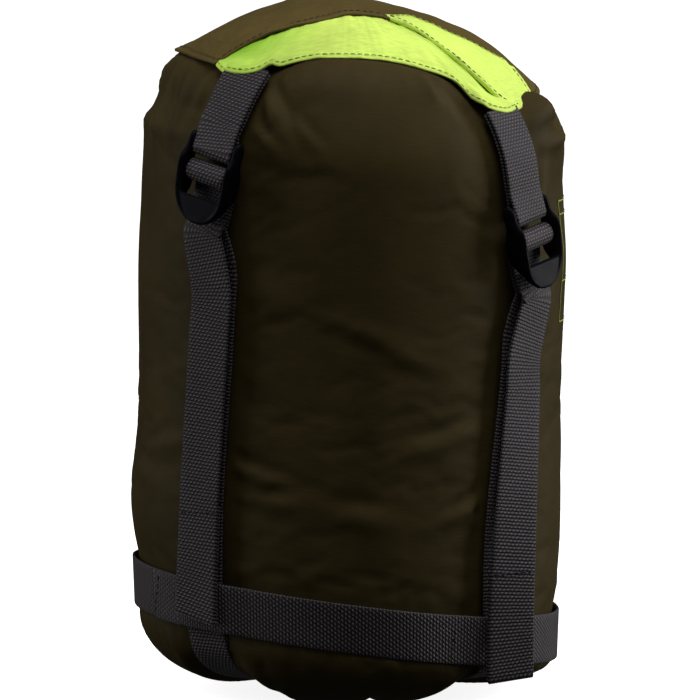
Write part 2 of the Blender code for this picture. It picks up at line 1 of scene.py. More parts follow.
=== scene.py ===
"""Visual model of a packed compression stuff sack, built round its CAD frame.

Lengths are in metres, with +Z up and the sack's front towards -Y. Sizes that the frame gives are read
from it; the shoulder's and the base's curves repeat the formulas of the CAD model.
"""

import json
import math

import bmesh
import bpy
import numpy as np
from mathutils import Matrix, Vector, noise


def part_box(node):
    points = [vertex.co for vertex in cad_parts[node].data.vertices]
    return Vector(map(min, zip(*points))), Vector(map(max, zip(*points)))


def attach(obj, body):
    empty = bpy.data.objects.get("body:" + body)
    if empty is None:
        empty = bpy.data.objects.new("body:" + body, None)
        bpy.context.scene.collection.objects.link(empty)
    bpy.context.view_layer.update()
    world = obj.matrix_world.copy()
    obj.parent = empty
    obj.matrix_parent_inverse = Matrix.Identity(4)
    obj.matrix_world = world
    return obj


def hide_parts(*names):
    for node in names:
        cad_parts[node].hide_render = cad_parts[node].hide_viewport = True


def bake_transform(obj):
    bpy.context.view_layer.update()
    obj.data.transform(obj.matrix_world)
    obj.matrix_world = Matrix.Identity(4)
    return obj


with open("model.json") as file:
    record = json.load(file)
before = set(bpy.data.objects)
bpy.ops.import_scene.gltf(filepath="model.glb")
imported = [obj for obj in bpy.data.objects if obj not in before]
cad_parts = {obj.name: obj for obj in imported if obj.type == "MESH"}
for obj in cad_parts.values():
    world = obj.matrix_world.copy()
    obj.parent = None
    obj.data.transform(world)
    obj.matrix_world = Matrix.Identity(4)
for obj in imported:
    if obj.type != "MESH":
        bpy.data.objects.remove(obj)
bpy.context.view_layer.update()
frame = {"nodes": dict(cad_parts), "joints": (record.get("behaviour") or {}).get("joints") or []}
joints = {joint["name"]: joint for joint in frame["joints"]}

# ---------------------------------------------------------------- sizes

STRAPS = ("front_left", "front_right", "rear_right", "rear_left")
WEB_WIDTH = 0.025
WEB = 0.0014
BASE_TOP = 0.030
FOOT_RADIUS = 0.074
SHOULDER_Z = 0.270
CROWN_Z = 0.349
ROUNDNESS = 2.1
GROOVE_DEPTH = 0.009

panel_low, panel_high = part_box("body_panel")
ring_low, ring_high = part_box("base_ring_webbing")
RADIUS = (panel_high[0] - panel_low[0]) / 2
RING_RADIUS = (ring_high[0] - ring_low[0]) / 2
SLOPE = (ring_high[2] - ring_low[2] - WEB_WIDTH) / (2 * RING_RADIUS)
RING_LEVEL = (ring_high[2] + ring_low[2]) / 2

# The cap's corners, then its lower edge and the top panel's edge between two front or two rear
# corners: share of the way, and level of the hem or turn over the shoulder of the seam in degrees
CORNER_LEVEL = 0.309
CORNER_ANGLES = [math.radians(a) for a in (-47.5, 57, 131, -121)]
SIDE_ARCH = 0.0040
HEM_POINTS = (
    (0.0, 0.3135), (0.06, 0.3102), (0.12, 0.3098), (0.18, 0.3122), (0.225, 0.3175), (0.34, 0.3240),
    (0.50, 0.3268), (0.63, 0.3266), (0.77, 0.3230), (0.82, 0.3202), (0.845, 0.3145), (0.875, 0.3080),
    (0.94, 0.3058), (1.0, 0.3075),
)  # fmt: skip
SEAM_POINTS = (
    (0.0, 32.5), (0.09, 46.5), (0.20, 56.5), (0.38, 67.5), (0.50, 70.5), (0.62, 70.7), (0.75, 68.7),
    (0.84, 62.0), (0.886, 50.5), (0.92, 41.0), (0.955, 33.0), (1.0, 28.0),
)  # fmt: skip

# Straps and buckles
CAP_ANGLES = [math.radians(a) for a in (-33, 50, 139, -130)]
STRAP_TUCKS = (0.004, 0.0015, 0.004, 0.004)  # how far each strap runs up under the cap's hem
FOOT_ANGLES = [math.radians(a) for a in (-42.5, 45, 137.5, -135)]
TAIL_ANGLES = [math.radians(a) for a in (-42.5, 44, 139, -133)]
TAIL_FACINGS = [math.radians(a) for a in (-39, 24, 139, -131)]
TAIL_STANDOFFS = (0.0068, 0.0093, 0.0062, 0.0064)
FOOT_BLEND = (0.070, 0.220)
BAR_RADIUS = 0.0019
MIDDLE_BAR = 0.0125
TAIL_TOP = 0.0395

BARS = [Vector(joints["buckle_tip_" + name]["pos_m"]) for name in STRAPS]
BUCKLE_ANGLES = [math.atan2(bar.x, -bar.y) for bar in BARS]


# ---------------------------------------------------------------- helpers


def smoothstep(low, high, value):
    t = min(1.0, max(0.0, (value - low) / (high - low)))
    return t * t * (3 - 2 * t)


def steps(start, end, count):
    return [start + (end - start) * k / (count - 1) for k in range(count)]


def mix(a, b, share):
    return a + (b - a) * share


def bell(value, centre=0.0, width=1.0):
    return math.exp(-(((value - centre) / width) ** 2))


def turn_between(a, b):
    """Signed angle from b to a, within half a turn."""
    return (a - b + math.pi) % (2 * math.pi) - math.pi


def wobble(x, y, z=0.0, seed=0.0):
    """Smooth noise, mostly between -1 and 1, with bumps about one unit across."""
    return noise.noise(Vector((x + seed, y - 1.7 * seed, z + 2.3 * seed)))


def radial(angle):
    return Vector((math.sin(angle), -math.cos(angle), 0))


def tangent(angle):
    return Vector((math.cos(angle), math.sin(angle), 0))


def link(obj):
    bpy.context.scene.collection.objects.link(obj)
    return obj


def mesh_piece(name, points, faces, material=None):
    mesh = bpy.data.meshes.new(name)
    mesh.from_pydata([tuple(p) for p in points], [], faces)
    mesh.shade_smooth()
    if material:
        mesh.materials.append(material)
    return link(bpy.data.objects.new(name, mesh))


def grid_piece(name, grid, material, uv, closed=False):
    """A sheet through rows of points. uv(i, j) gives metres along the surface."""
    rows, columns = len(grid), len(grid[0])
    across = columns if closed else columns - 1
    faces = []
    corners = []
    for i in range(rows - 1):
        for j in range(across):
            k = (j + 1) % columns
            faces.append((i * columns + j, i * columns + k, (i + 1) * columns + k, (i + 1) * columns + j))
            corners += [(i, j), (i, j + 1), (i + 1, j + 1), (i + 1, j)]
    obj = mesh_piece(name, [p for row in grid for p in row], faces, material)
    layer = obj.data.uv_layers.new(name="UVMap")
    layer.data.foreach_set("uv", [value for i, j in corners for value in uv(i, j)])
    return obj


def edit(obj, change):
    """Runs change on the object's mesh as a bmesh."""
    made = bmesh.new()
    made.from_mesh(obj.data)
    made.verts.ensure_lookup_table()
    change(made)
    made.to_mesh(obj.data)
    made.free()
    return obj


def face_outwards(obj):
    return edit(obj, lambda made: bmesh.ops.recalc_face_normals(made, faces=made.faces))


def join(name, objects):
    """One piece from several, each keeping its own materials."""
    target = objects[0]
    with bpy.context.temp_override(
        active_object=target, object=target, selected_objects=objects, selected_editable_objects=objects
    ):
        bpy.ops.object.join()
    target.name = name
    return target


def solidify(obj, thickness, offset=-1.0):
    made = obj.modifiers.new("thickness", "SOLIDIFY")
    made.thickness = thickness
    made.offset = offset
    made.use_even_offset = True
    return obj


def apply_modifiers(obj):
    """Replaces the object's mesh with the mesh its modifiers make."""
    bpy.context.view_layer.update()
    graph = bpy.context.evaluated_depsgraph_get()
    made = bpy.data.meshes.new_from_object(obj.evaluated_get(graph), depsgraph=graph)
    obj.modifiers.clear()
    obj.data = made
    return obj


def settle(obj, body, slot, *nodes):
    """Puts a finished piece in the frame under its body, and hides the nodes it stands for. The slot is not
    used.
    """
    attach(obj, body)
    if nodes:
        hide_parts(*nodes)
    return obj


def bend(obj, bodies, ends, slot, *nodes):
    """For a piece that spans two bodies: bakes its placement into its mesh and hides the nodes it stands for.
    The bodies, the ends and the slot are not used.
    """
    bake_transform(obj)
    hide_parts(*nodes)
    return obj


def run_lengths(points, start=0.0):
    """Distance along a line of points, from its first one on."""
    lengths = [start]
    for a, b in zip(points, points[1:]):
        lengths.append(lengths[-1] + (a - b).length)
    return lengths


def close_hole(made, first):
    """Fills the small round hole whose edge is a ring of vertices from first on."""
    loop = [made.verts[first + j] for j in range(COLUMNS)]
    centre = made.verts.new(sum((v.co for v in loop), Vector()) / COLUMNS)
    for j in range(COLUMNS):
        made.faces.new((loop[j], loop[(j + 1) % COLUMNS], centre)).smooth = True
    bmesh.ops.recalc_face_normals(made, faces=made.faces)


def smooth_curve(points, count):
    """Evenly spaced points on a Catmull-Rom curve through given ones, of any dimension.

    The spacing is measured over the first three coordinates, or as many as there are.
    """
    given = [np.array(p, float) for p in points]
    given = [2 * given[0] - given[1]] + given + [2 * given[-1] - given[-2]]
    dense = []
    for k in range(1, len(given) - 2):
        p0, p1, p2, p3 = given[k - 1 : k + 3]
        for t in np.linspace(0, 1, 24, endpoint=False):
            cubic = (2 * p0 - 5 * p1 + 4 * p2 - p3) * t * t + (3 * p1 - p0 - 3 * p2 + p3) * t**3
            dense.append(0.5 * (2 * p1 + (p2 - p0) * t + cubic))
    dense.append(given[-2])
    dense = np.array(dense)
    lengths = np.linalg.norm(np.diff(dense[:, :3], axis=0), axis=1)
    along = np.concatenate([[0], np.cumsum(lengths)])
    wanted = np.linspace(0, along[-1], count)
    return np.stack([np.interp(wanted, along, dense[:, n]) for n in range(dense.shape[1])], axis=1)


# ---------------------------------------------------------------- materials


class Graph:
    """A short way to write a material's nodes."""

    def __init__(self, name):
        self.material = bpy.data.materials.new(name)
        self.material.use_nodes = True
        self.tree = self.material.node_tree
        self.shader = self.tree.nodes["Principled BSDF"]
        self.place = self.node("ShaderNodeTexCoord").outputs

    def node(self, kind, inputs=None, **settings):
        made = self.tree.nodes.new(kind)
        for key, value in settings.items():
            setattr(made, key, value)
        for key, value in (inputs or {}).items():
            self.feed(made.inputs[key], value)
        return made

    def feed(self, socket, value):
        if isinstance(value, bpy.types.NodeSocket):
            self.tree.links.new(value, socket)
        else:
            socket.default_value = value

    def math(self, operation, a, b=0.0):
        return self.node("ShaderNodeMath", {0: a, 1: b}, operation=operation).outputs[0]

    def noise(self, scale, detail=2.0, roughness=0.5, coordinates=None):
        vector = self.place["Object"] if coordinates is None else coordinates
        inputs = {"Vector": vector, "Scale": scale, "Detail": detail, "Roughness": roughness}
        return self.node("ShaderNodeTexNoise", inputs).outputs["Fac"]

    def span(self, value, low, high, to_low=0.0, to_high=1.0):
        inputs = {"Value": value, "From Min": low, "From Max": high, "To Min": to_low, "To Max": to_high}
        return self.node("ShaderNodeMapRange", inputs).outputs[0]

    def ramp(self, value, stops):
        made = self.node("ShaderNodeValToRGB", {"Fac": value})
        ramp = made.color_ramp
        while len(ramp.elements) < len(stops):
            ramp.elements.new(0.5)
        for element, (place, colour) in zip(ramp.elements, stops):
            element.position = place
            element.color = (*colour, 1)
        return made.outputs["Color"]

    def bump(self, height, strength, distance, normal=None):
        inputs = {"Height": height, "Strength": strength, "Distance": distance}
        if normal is not None:
            inputs["Normal"] = normal
        return self.node("ShaderNodeBump", inputs).outputs["Normal"]

    def set(self, **values):
        for key, value in values.items():
            self.feed(self.shader.inputs[key.replace("_", " ")], value)
        return self


def shaded(colour, factor):
    return tuple(min(1.0, c * factor) for c in colour)


def fabric_material(name, colour, roughness, sheen, sheen_tint, specular=0.25, painted_shade_colour=None, pitch=0.00055):
    """Plain-woven taffeta: fine crossed yarns, slubs, faint colour change and a soft crumple.

    The colour given for the shaded side is painted shade: the fabric takes it on the sack's left, mostly
    where it runs in under the cap's edge.
    """
    g = Graph(name)
    parts = g.node("ShaderNodeSeparateXYZ", {"Vector": g.place["UV"]})
    waves = [g.math("SINE", g.math("MULTIPLY", parts.outputs[axis], math.tau / pitch)) for axis in "XY"]
    weave = g.math("MULTIPLY", waves[0], waves[1])
    broad = g.noise(30.0, 3.0, 0.55)
    fine = g.noise(380.0, 2.0, 0.6)
    slub = g.node("ShaderNodeMapping", {"Vector": g.place["UV"], "Scale": (110.0, 1300.0, 1.0)})
    streak = g.noise(1.0, 2.0, 0.6, slub.outputs["Vector"])
    shade = g.math("ADD", g.math("MULTIPLY", broad, 0.45), g.math("MULTIPLY", streak, 0.4))
    shade = g.math("ADD", shade, g.math("MULTIPLY", weave, 0.10))
    stops = [(0.25, shaded(colour, 0.74)), (0.62, shaded(colour, 1.28))]
    normal = g.bump(broad, 0.12, 0.001)
    normal = g.bump(fine, 0.16, 0.0003, normal)
    normal = g.bump(weave, 0.15, 0.00012, normal)
    rough = g.span(streak, 0.25, 0.75, roughness - 0.06, roughness + 0.06)
    tint = g.ramp(shade, stops)
    # Painted shade: towards the sack's left, and most of all up under the cap's edge, the colour turns to the
    # shaded-side colour.
    if painted_shade_colour is not None:
        place = g.node("ShaderNodeSeparateXYZ", {"Vector": g.place["Object"]})
        left = g.span(place.outputs["X"], -0.008, -0.052)
        under = g.span(parts.outputs["Y"], 0.012, 0.030, 0.40, 1.0)
        painted_shade_tint = g.ramp(shade, [(0.25, shaded(painted_shade_colour, 0.74)), (0.62, shaded(painted_shade_colour, 1.28))])
        painted_shade_mix = {0: g.math("MULTIPLY", left, under), 6: tint, 7: painted_shade_tint}
        tint = g.node("ShaderNodeMix", painted_shade_mix, data_type="RGBA").outputs[2]
    g.set(Base_Color=tint, Roughness=rough, Normal=normal)
    g.set(Sheen_Weight=sheen, Sheen_Roughness=0.4, Sheen_Tint=(*sheen_tint, 1), Specular_IOR_Level=specular)
    return g.material


def webbing_material(name, gap, low, high):
    """Woven webbing: rows of slanted yarn floats, each row set half a float aside. Its colour follows the
    weave's height, with noise: the first colour is painted shade in the low parts between the floats.
    """
    row, spacing = 0.00175, 0.0023
    g = Graph(name)
    parts = g.node("ShaderNodeSeparateXYZ", {"Vector": g.place["UV"]})
    across, along = parts.outputs["X"], parts.outputs["Y"]
    drift = g.noise(260.0)
    bent = g.math("ADD", along, g.math("MULTIPLY", drift, 0.0006))
    ridge = g.math("COSINE", g.math("MULTIPLY", bent, math.tau / row))
    ridge = g.math("ADD", g.math("MULTIPLY", ridge, 0.5), 0.5)
    slant = g.math("MULTIPLY", bent, math.pi / row)
    floats = g.math("ADD", g.math("MULTIPLY", across, math.tau / spacing), slant)
    dash = g.math("ADD", g.math("MULTIPLY", g.math("SINE", floats), 0.5), 0.5)
    height = g.math("ADD", g.math("MULTIPLY", dash, 0.75), 0.25)
    height = g.math("MULTIPLY", g.math("POWER", ridge, 0.8), height)
    edge = g.span(g.math("ABSOLUTE", across), 0.0112, 0.0118)
    plain = g.math("MULTIPLY", ridge, 0.6)
    surface = g.node("ShaderNodeMix", {0: edge, 2: height, 3: plain}).outputs[0]
    fuzz = g.noise(1500.0)
    worn = g.noise(40.0)
    tone = g.math("ADD", surface, g.math("MULTIPLY", g.math("SUBTRACT", fuzz, 0.5), 0.3))
    tone = g.math("ADD", tone, g.math("MULTIPLY", g.math("SUBTRACT", worn, 0.5), 0.25))
    normal = g.bump(surface, 0.9, 0.0005)
    normal = g.bump(fuzz, 0.2, 0.0001, normal)
    # Painted shade: the darkest stop colours the low parts of the weave, between the floats.
    g.set(Base_Color=g.ramp(tone, [(0.08, gap), (0.45, low), (0.95, high)]), Roughness=0.6, Normal=normal)
    g.set(Sheen_Weight=0.05, Specular_IOR_Level=0.25)
    return g.material


def plastic_material(name, colour, roughness):
    """Moulded acetal: a faint grain and scuffs that change the gloss."""
    g = Graph(name)
    grain = g.noise(2600.0, 2.0, 0.7)
    scuff = g.noise(160.0, 4.0, 0.65)
    tint = g.ramp(scuff, [(0.35, shaded(colour, 0.85)), (0.75, shaded(colour, 1.5))])
    rough = g.span(scuff, 0.2, 0.8, roughness - 0.07, roughness + 0.09)
    g.set(Base_Color=tint, Roughness=rough, Normal=g.bump(grain, 0.1, 0.00008))
    g.set(IOR=1.45, Specular_IOR_Level=0.04)
    return g.material


def thread_material(name, colour):
    """Twisted sewing thread, or a dry printed line."""
    g = Graph(name)
    twist = g.noise(3200.0, 1.0)
    g.set(Base_Color=g.ramp(twist, [(0.35, shaded(colour, 0.6)), (0.7, colour)]), Roughness=0.6)
    g.set(Normal=g.bump(twist, 0.3, 0.0001), Specular_IOR_Level=0.25)
    return g.material


def steel_material(name):
    g = Graph(name)
    rough = g.span(g.noise(900.0), 0.2, 0.8, 0.22, 0.4)
    g.set(Base_Color=(0.55, 0.55, 0.56, 1), Metallic=1.0, Roughness=rough)
    return g.material


OLIVE = fabric_material("olive_taffeta", (0.0415, 0.0305, 0.0105), 0.58, 0.0, (0.8, 0.68, 0.4), 0.04)
CAP_OLIVE = fabric_material("cap_satin", (0.083, 0.0585, 0.0150), 0.48, 0.01, (0.85, 0.72, 0.45), 0.12)
# Painted shade: the lime's colour on the sack's left, where the cap's edge shades it.
LIME_PAINTED_SHADE = (0.20, 0.46, 0.020)
LIME = fabric_material("lime_taffeta", (0.60, 0.80, 0.140), 0.55, 0.02, (1.0, 1.0, 0.7), 0.12, LIME_PAINTED_SHADE)
FILL_FABRIC = fabric_material("bag_shell", (0.06, 0.07, 0.08), 0.6, 0.1, (1.0, 1.0, 1.0))
# The first colour given to each is painted shade in the low parts of the weave.
WEBBING = webbing_material("webbing", (0.006, 0.005, 0.006), (0.030, 0.0235, 0.0285), (0.125, 0.097, 0.113))
CORD = webbing_material("cord_braid", (0.004, 0.004, 0.004), (0.015, 0.015, 0.015), (0.05, 0.05, 0.05))
PLASTIC = plastic_material("buckle_plastic", (0.0032, 0.0033, 0.0052), 0.42)
LOCK_PLASTIC = plastic_material("lock_plastic", (0.010, 0.010, 0.012), 0.4)
CAP_THREAD = thread_material("cap_thread", (0.055, 0.036, 0.012))
DARK_THREAD = thread_material("dark_thread", (0.018, 0.024, 0.040))
LIME_THREAD = thread_material("lime_thread", (0.36, 0.52, 0.07))
PRINT = thread_material("lime_print", (0.34, 0.50, 0.06))
STEEL = steel_material("spring_steel")


# ---------------------------------------------------------------- surfaces


def spread(angle, radius, level):
    x = radius * math.sin(angle)
    return Vector((x, -radius * math.cos(angle), level - SLOPE * x))


def dome_turn(level):
    height = min(1.0, max(0.0, (level - SHOULDER_Z) / (CROWN_Z - SHOULDER_Z)))
    return math.asin(height ** (ROUNDNESS / 2))


def dome_level(turn):
    return SHOULDER_Z + (CROWN_Z - SHOULDER_Z) * math.sin(turn) ** (2 / ROUNDNESS)


# How far the shoulder is drawn in on the sack's left, by level
DRAWN_IN = (
    (0.268, 0.0), (0.2775, -0.0006), (0.283, 0.0030), (0.292, 0.0066), (0.300, 0.0066), (0.307, 0.0052),
    (0.313, 0.0020), (0.317, 0.0060), (0.324, 0.0090), (0.334, 0.0145), (0.341, 0.0165), (0.349, 0.0),
)  # fmt: skip


def lopsided(angle, level):
    """The shoulder is drawn in on the sack's left, and the contents push it out on its right."""
    left = bell(turn_between(angle, math.radians(-98)), 0, 0.75)
    right = bell(turn_between(angle, math.radians(88)), 0, 0.5)
    inward = float(np.interp(level, [row[0] for row in DRAWN_IN], [row[1] for row in DRAWN_IN]))
    outward = 0.0038 * smoothstep(SHOULDER_Z, 0.292, level) * (1 - smoothstep(0.328, 0.347, level))
    return right * (outward + 0.0045 * bell(level, 0.341, 0.008)) - left * inward


def dome(angle, turn, offset=0.0):
    """Point over the shoulder: turn 0 at the top of the straight side, pi/2 at the crown."""
    radius = RADIUS * max(0.0, math.cos(turn)) ** (2 / ROUNDNESS) + lopsided(angle, dome_level(turn))
    out = Vector((math.cos(turn) / RADIUS, math.sin(turn) / (CROWN_Z - SHOULDER_Z))).normalized()
    return spread(angle, radius + offset * out.x, dome_level(turn) + offset * out.y)


def skin_point(angle, level, offset=0.0):
    """Point at an offset from the CAD skin, on the side or over the shoulder."""
    if level > SHOULDER_Z:
        return dome(angle, dome_turn(level), offset)
    return spread(angle, RADIUS + offset, level)


def skin_normal(angle, level):
    """Outward direction of the CAD skin."""
    small = 0.0005
    up = skin_point(angle, level + small) - skin_point(angle, level - small)
    round_ = skin_point(angle + small, level) - skin_point(angle - small, level)
    return round_.cross(up).normalized()


def strap_azimuth(index, level):
    """Azimuth of a strap's centre line, which leans between the cap, its buckle and the base."""
    foot, buckle, cap = FOOT_ANGLES[index], BUCKLE_ANGLES[index], CAP_ANGLES[index]
    bar_level = BARS[index].z + SLOPE * BARS[index].x
    if level > bar_level:
        return mix(buckle, cap, min(1.2, (level - bar_level) / (CORNER_LEVEL - bar_level)))
    return mix(foot, buckle, smoothstep(*FOOT_BLEND, level))


def strap_line(angle, radius):
    """Distance from the nearer of the two lines that the straps take across the base."""
    return min(abs(radius * math.sin(angle - a)) for a in FOOT_ANGLES[:2])


def strap_side(angle, level):
    """Signed distance round the side from the nearest strap's centre line."""
    distances = [turn_between(angle, strap_azimuth(k, level)) * RADIUS for k in range(len(STRAPS))]
    return min(distances, key=abs)


def side_share(angle):
    """The side of the cap that an angle lies on, and how far along that side, 0 to 1."""
    order = (3, 0, 1, 2)
    start = CORNER_ANGLES[order[0]]
    turn = (angle - start) % math.tau
    bounds = [(CORNER_ANGLES[k] - start) % math.tau for k in order] + [math.tau]
    for k, name in enumerate(("left", "front", "right", "rear")):
        if turn <= bounds[k + 1]:
            return name, (turn - bounds[k]) / (bounds[k + 1] - bounds[k])
    return "left", 0.0


HEM_LINE = smooth_curve(HEM_POINTS, 240)
SEAM_LINE = smooth_curve(SEAM_POINTS, 240)


def hem_level(angle):
    name, share = side_share(angle)
    if name in ("front", "rear"):
        return float(np.interp(share, HEM_LINE[:, 0], HEM_LINE[:, 1]))
    return mix(HEM_POINTS[-1][1], HEM_POINTS[0][1], share) + SIDE_ARCH * math.sin(math.pi * share)


def hem_turn(angle):
    return dome_turn(hem_level(angle))


def seam_turn(angle):
    """Place over the shoulder of the top panel's edge."""
    name, share = side_share(angle)
    if name in ("front", "rear"):
        return math.radians(float(np.interp(share, SEAM_LINE[:, 0], SEAM_LINE[:, 1])))
    return hem_turn(angle)


# ---------------------------------------------------------------- sack fabric

COLUMNS = 288
SIDE_ROWS = 96
SHOULDER_ROWS = 42
BASE_ROWS = 40
MOUTH_EDGE = 0.0185
FABRIC = 0.0009
SIM_FRAMES = 18

# Folds: azimuth in degrees and level of the middle, direction in degrees (0 level, 90 upright),
# then length, width and height. A fold is a ridge with a valley on its left, seen along it.
FOLDS = (
    # pulled down from the cap's corner beside the front left strap
    (-22, 0.297, -58, 0.046, 0.0042, 0.0034),
    (-14, 0.290, -42, 0.034, 0.0034, 0.0018),
    (-24, 0.283, -35, 0.028, 0.0030, 0.0015),
    # pleats under the cap, left of that strap
    (-86, 0.300, 98, 0.034, 0.0050, 0.0030),
    (-70, 0.288, 95, 0.052, 0.0040, 0.0028),
    (-58, 0.290, 84, 0.044, 0.0034, 0.0020),
    (-50, 0.296, 80, 0.030, 0.0028, 0.0018),
    # from the hem down to the front right strap, and past it
    (35, 0.313, -60, 0.036, 0.0050, -0.0030),
    (26, 0.316, -72, 0.022, 0.0036, 0.0014),
    (76, 0.2935, 4, 0.046, 0.0042, 0.0046),
    (67, 0.266, 78, 0.050, 0.0056, 0.0020),
    (78, 0.240, 100, 0.040, 0.0060, 0.0014),
    # creases across the front, where the straps shorten the sack
    (5, 0.192, 165, 0.046, 0.0050, 0.0011),
    (16, 0.181, 170, 0.040, 0.0050, 0.0009),
    (22, 0.137, 14, 0.052, 0.0050, 0.0013),
    (31, 0.145, 24, 0.036, 0.0040, 0.0012),
    (33, 0.107, 28, 0.034, 0.0034, 0.0020),
    (39, 0.100, -32, 0.022, 0.0030, 0.0016),
    (-25, 0.112, -12, 0.050, 0.0040, 0.0016),
    (-20, 0.100, 4, 0.040, 0.0040, 0.0011),
    (3, 0.098, 0, 0.042, 0.0060, 0.0014),
    (-60, 0.118, 12, 0.036, 0.0040, 0.0012),
    (-72, 0.100, -10, 0.040, 0.0050, 0.0012),
    # the same kinds of fold round the back
    (104, 0.290, 92, 0.046, 0.0045, 0.0026),
    (120, 0.296, 80, 0.036, 0.0036, 0.0022),
    (150, 0.292, -60, 0.044, 0.0042, 0.0030),
    (166, 0.282, -40, 0.034, 0.0040, 0.0014),
    (-146, 0.296, 62, 0.044, 0.0044, 0.0028),
    (-164, 0.286, 48, 0.036, 0.0040, 0.0014),
    (-112, 0.292, 88, 0.046, 0.0042, 0.0026),
    (170, 0.180, 168, 0.050, 0.0050, 0.0012),
    (-160, 0.132, 10, 0.050, 0.0050, 0.0013),
    (158, 0.108, -22, 0.038, 0.0038, 0.0018),
    (-148, 0.104, 20, 0.034, 0.0036, 0.0018),
    (108, 0.120, 12, 0.050, 0.0050, 0.0013),
    (-104, 0.140, -10, 0.050, 0.0050, 0.0013),
)


def shoulder_lengths():
    """Turn over the shoulder against distance up the surface, both from the side's top."""
    turns = np.linspace(0, math.pi / 2, 160)
    points = [dome(0, t) for t in turns]
    gaps = [(b - a).length for a, b in zip(points, points[1:])]
    return turns, np.concatenate([[0], np.cumsum(gaps)])


SHOULDER_TURNS, SHOULDER_LENGTHS = shoulder_lengths()


def climb(level):
    """Distance up the surface, which is the level itself up to the shoulder."""
    if level <= SHOULDER_Z:
        return level
    return SHOULDER_Z + float(np.interp(dome_turn(level), SHOULDER_TURNS, SHOULDER_LENGTHS))


FOLD_LINES = [
    (math.radians(a), climb(level), math.radians(way), length, width, height)
    for a, level, way, length, width, height in FOLDS
]


def fold_height(angle, distance, girth):
    """Height of the fabric's folds at an azimuth and a distance up the surface."""
    total = 0.0
    for centre, middle, way, length, width, height in FOLD_LINES:
        right = turn_between(angle, centre) * girth
        up = distance - middle
        if abs(right) > length or abs(up) > length:
            continue
        along = (right * math.cos(way) + up * math.sin(way)) / (length / 2)
        bend = 0.35 * width * wobble(along, 3 * middle, 5.0)
        across = (-right * math.sin(way) + up * math.cos(way) + bend) / width
        taper = bell(along, 0.0, 0.75)
        total += height * taper * (bell(across) - 0.75 * bell(across, 1.55, 0.7))
    return total


def bulge(angle, level):
    """How far the stuffed side stands proud of the CAD radius."""
    away = smoothstep(0.009, 0.044, abs(strap_side(angle, level)))
    swell = mix(-0.0016, 0.0004, away)
    swell -= 0.0010 * bell(level, 0.165, 0.035)
    swell -= 0.0018 * math.sin(angle) ** 2
    swell -= 0.0030 * bell(level, 0.262, 0.05) * bell(turn_between(angle, math.radians(-95)), 0, 0.7)
    swell -= 0.0034 * bell(level, 0.036, 0.030) * bell(turn_between(angle, math.radians(95)), 0, 0.6)
    swell -= 0.0012 * bell(level, RING_LEVEL, 0.014)
    swell += 0.0040 * bell(level, 0.084, 0.026) * bell(turn_between(angle, math.radians(-90)), 0, 0.7)
    swell += 0.0014 * bell(level, 0.190, 0.050) * bell(turn_between(angle, math.radians(90)), 0, 0.5)
    swell += 0.0024 * bell(level, 0.236, 0.030) * bell(turn_between(angle, math.radians(88)), 0, 0.45)
    return swell


def shoulder_point(angle, turn):
    """The fabric over the shoulder. It runs in under the cap, then nearly flat to the mouth."""
    hem = hem_turn(angle)
    under = smoothstep(hem - 0.03, hem + 0.09, turn)
    apart = smoothstep(0.012, 0.04, abs(strap_side(angle, dome_level(turn))))
    swell = bulge(angle, SHOULDER_Z) * (1 - under)
    swell += 0.0026 * bell(turn, hem - 0.15, 0.15) * apart
    puff = bell(turn_between(angle, math.radians(69.5)), 0, 0.20) * bell(turn, hem - 0.05, 0.12)
    point = dome(angle, turn, swell + 0.0090 * puff - 0.0030 * under * (1 - puff))
    start = dome_turn(0.322)
    sink = smoothstep(start, start + 0.45, turn)
    point.z -= (dome_level(turn) - 0.3235) * sink
    inwards = smoothstep(0.085, 0.03, math.hypot(point.x, point.y))
    point.z += 0.0016 * sink * inwards * math.cos(44 * angle + 1.5 * math.sin(3 * angle))
    return point


def base_point(angle, turn):
    """Point of the lobed base: turn 0 at the side, 1 at the edge of the flat, 2 at the centre."""
    power = 2 / ROUNDNESS
    sideways = smoothstep(0.45, 0.95, abs(math.sin(angle)))
    right = smoothstep(0.3, 1.0, math.sin(angle))
    foot_radius = FOOT_RADIUS - mix(0.013, 0.022, sideways) - 0.0080 * right
    if turn <= 1:
        swing = turn * math.pi / 2
        radius = foot_radius + (RADIUS - foot_radius) * max(0.0, math.cos(swing)) ** power
        level = BASE_TOP * (1 - math.sin(swing) ** power)
        out = Vector((math.cos(swing), -math.sin(swing)))
    else:
        radius = foot_radius * (2 - turn)
        level = 0.0
        out = Vector((0.0, -1.0))
    beside = strap_line(angle, radius)
    lobe = smoothstep(0.0148, 0.030, beside)
    swell = bulge(angle, BASE_TOP) * (1 - min(turn, 1.0))
    swell += 0.0010 * lobe * bell(turn, 0.3, 0.3)
    swell += 0.0030 * bell(beside, 0.022, 0.009) * bell(turn, 0.5, 0.35)
    crease = bell(turn_between(angle, math.radians(9)), 0, 0.05)
    crease += bell(turn_between(angle, math.radians(-24)), 0, 0.04)
    swell -= 0.0040 * crease * bell(turn, 0.85, 0.35)
    radius += swell * out.x
    x = radius * math.sin(angle)
    height = level * (BASE_TOP - SLOPE * x) / BASE_TOP
    height += GROOVE_DEPTH * (1 - lobe) * (1 - level / BASE_TOP)
    height += 0.0030 * crease * lobe * bell(turn, 0.9, 0.3)
    height += (0.0050 * sideways - 0.0012 * right) * (1 - level / BASE_TOP) * smoothstep(2.0, 1.0, turn)
    return Vector((x, -radius * math.cos(angle), height))


def around_sack():
    return [math.tau * k / COLUMNS - math.pi for k in range(COLUMNS)]


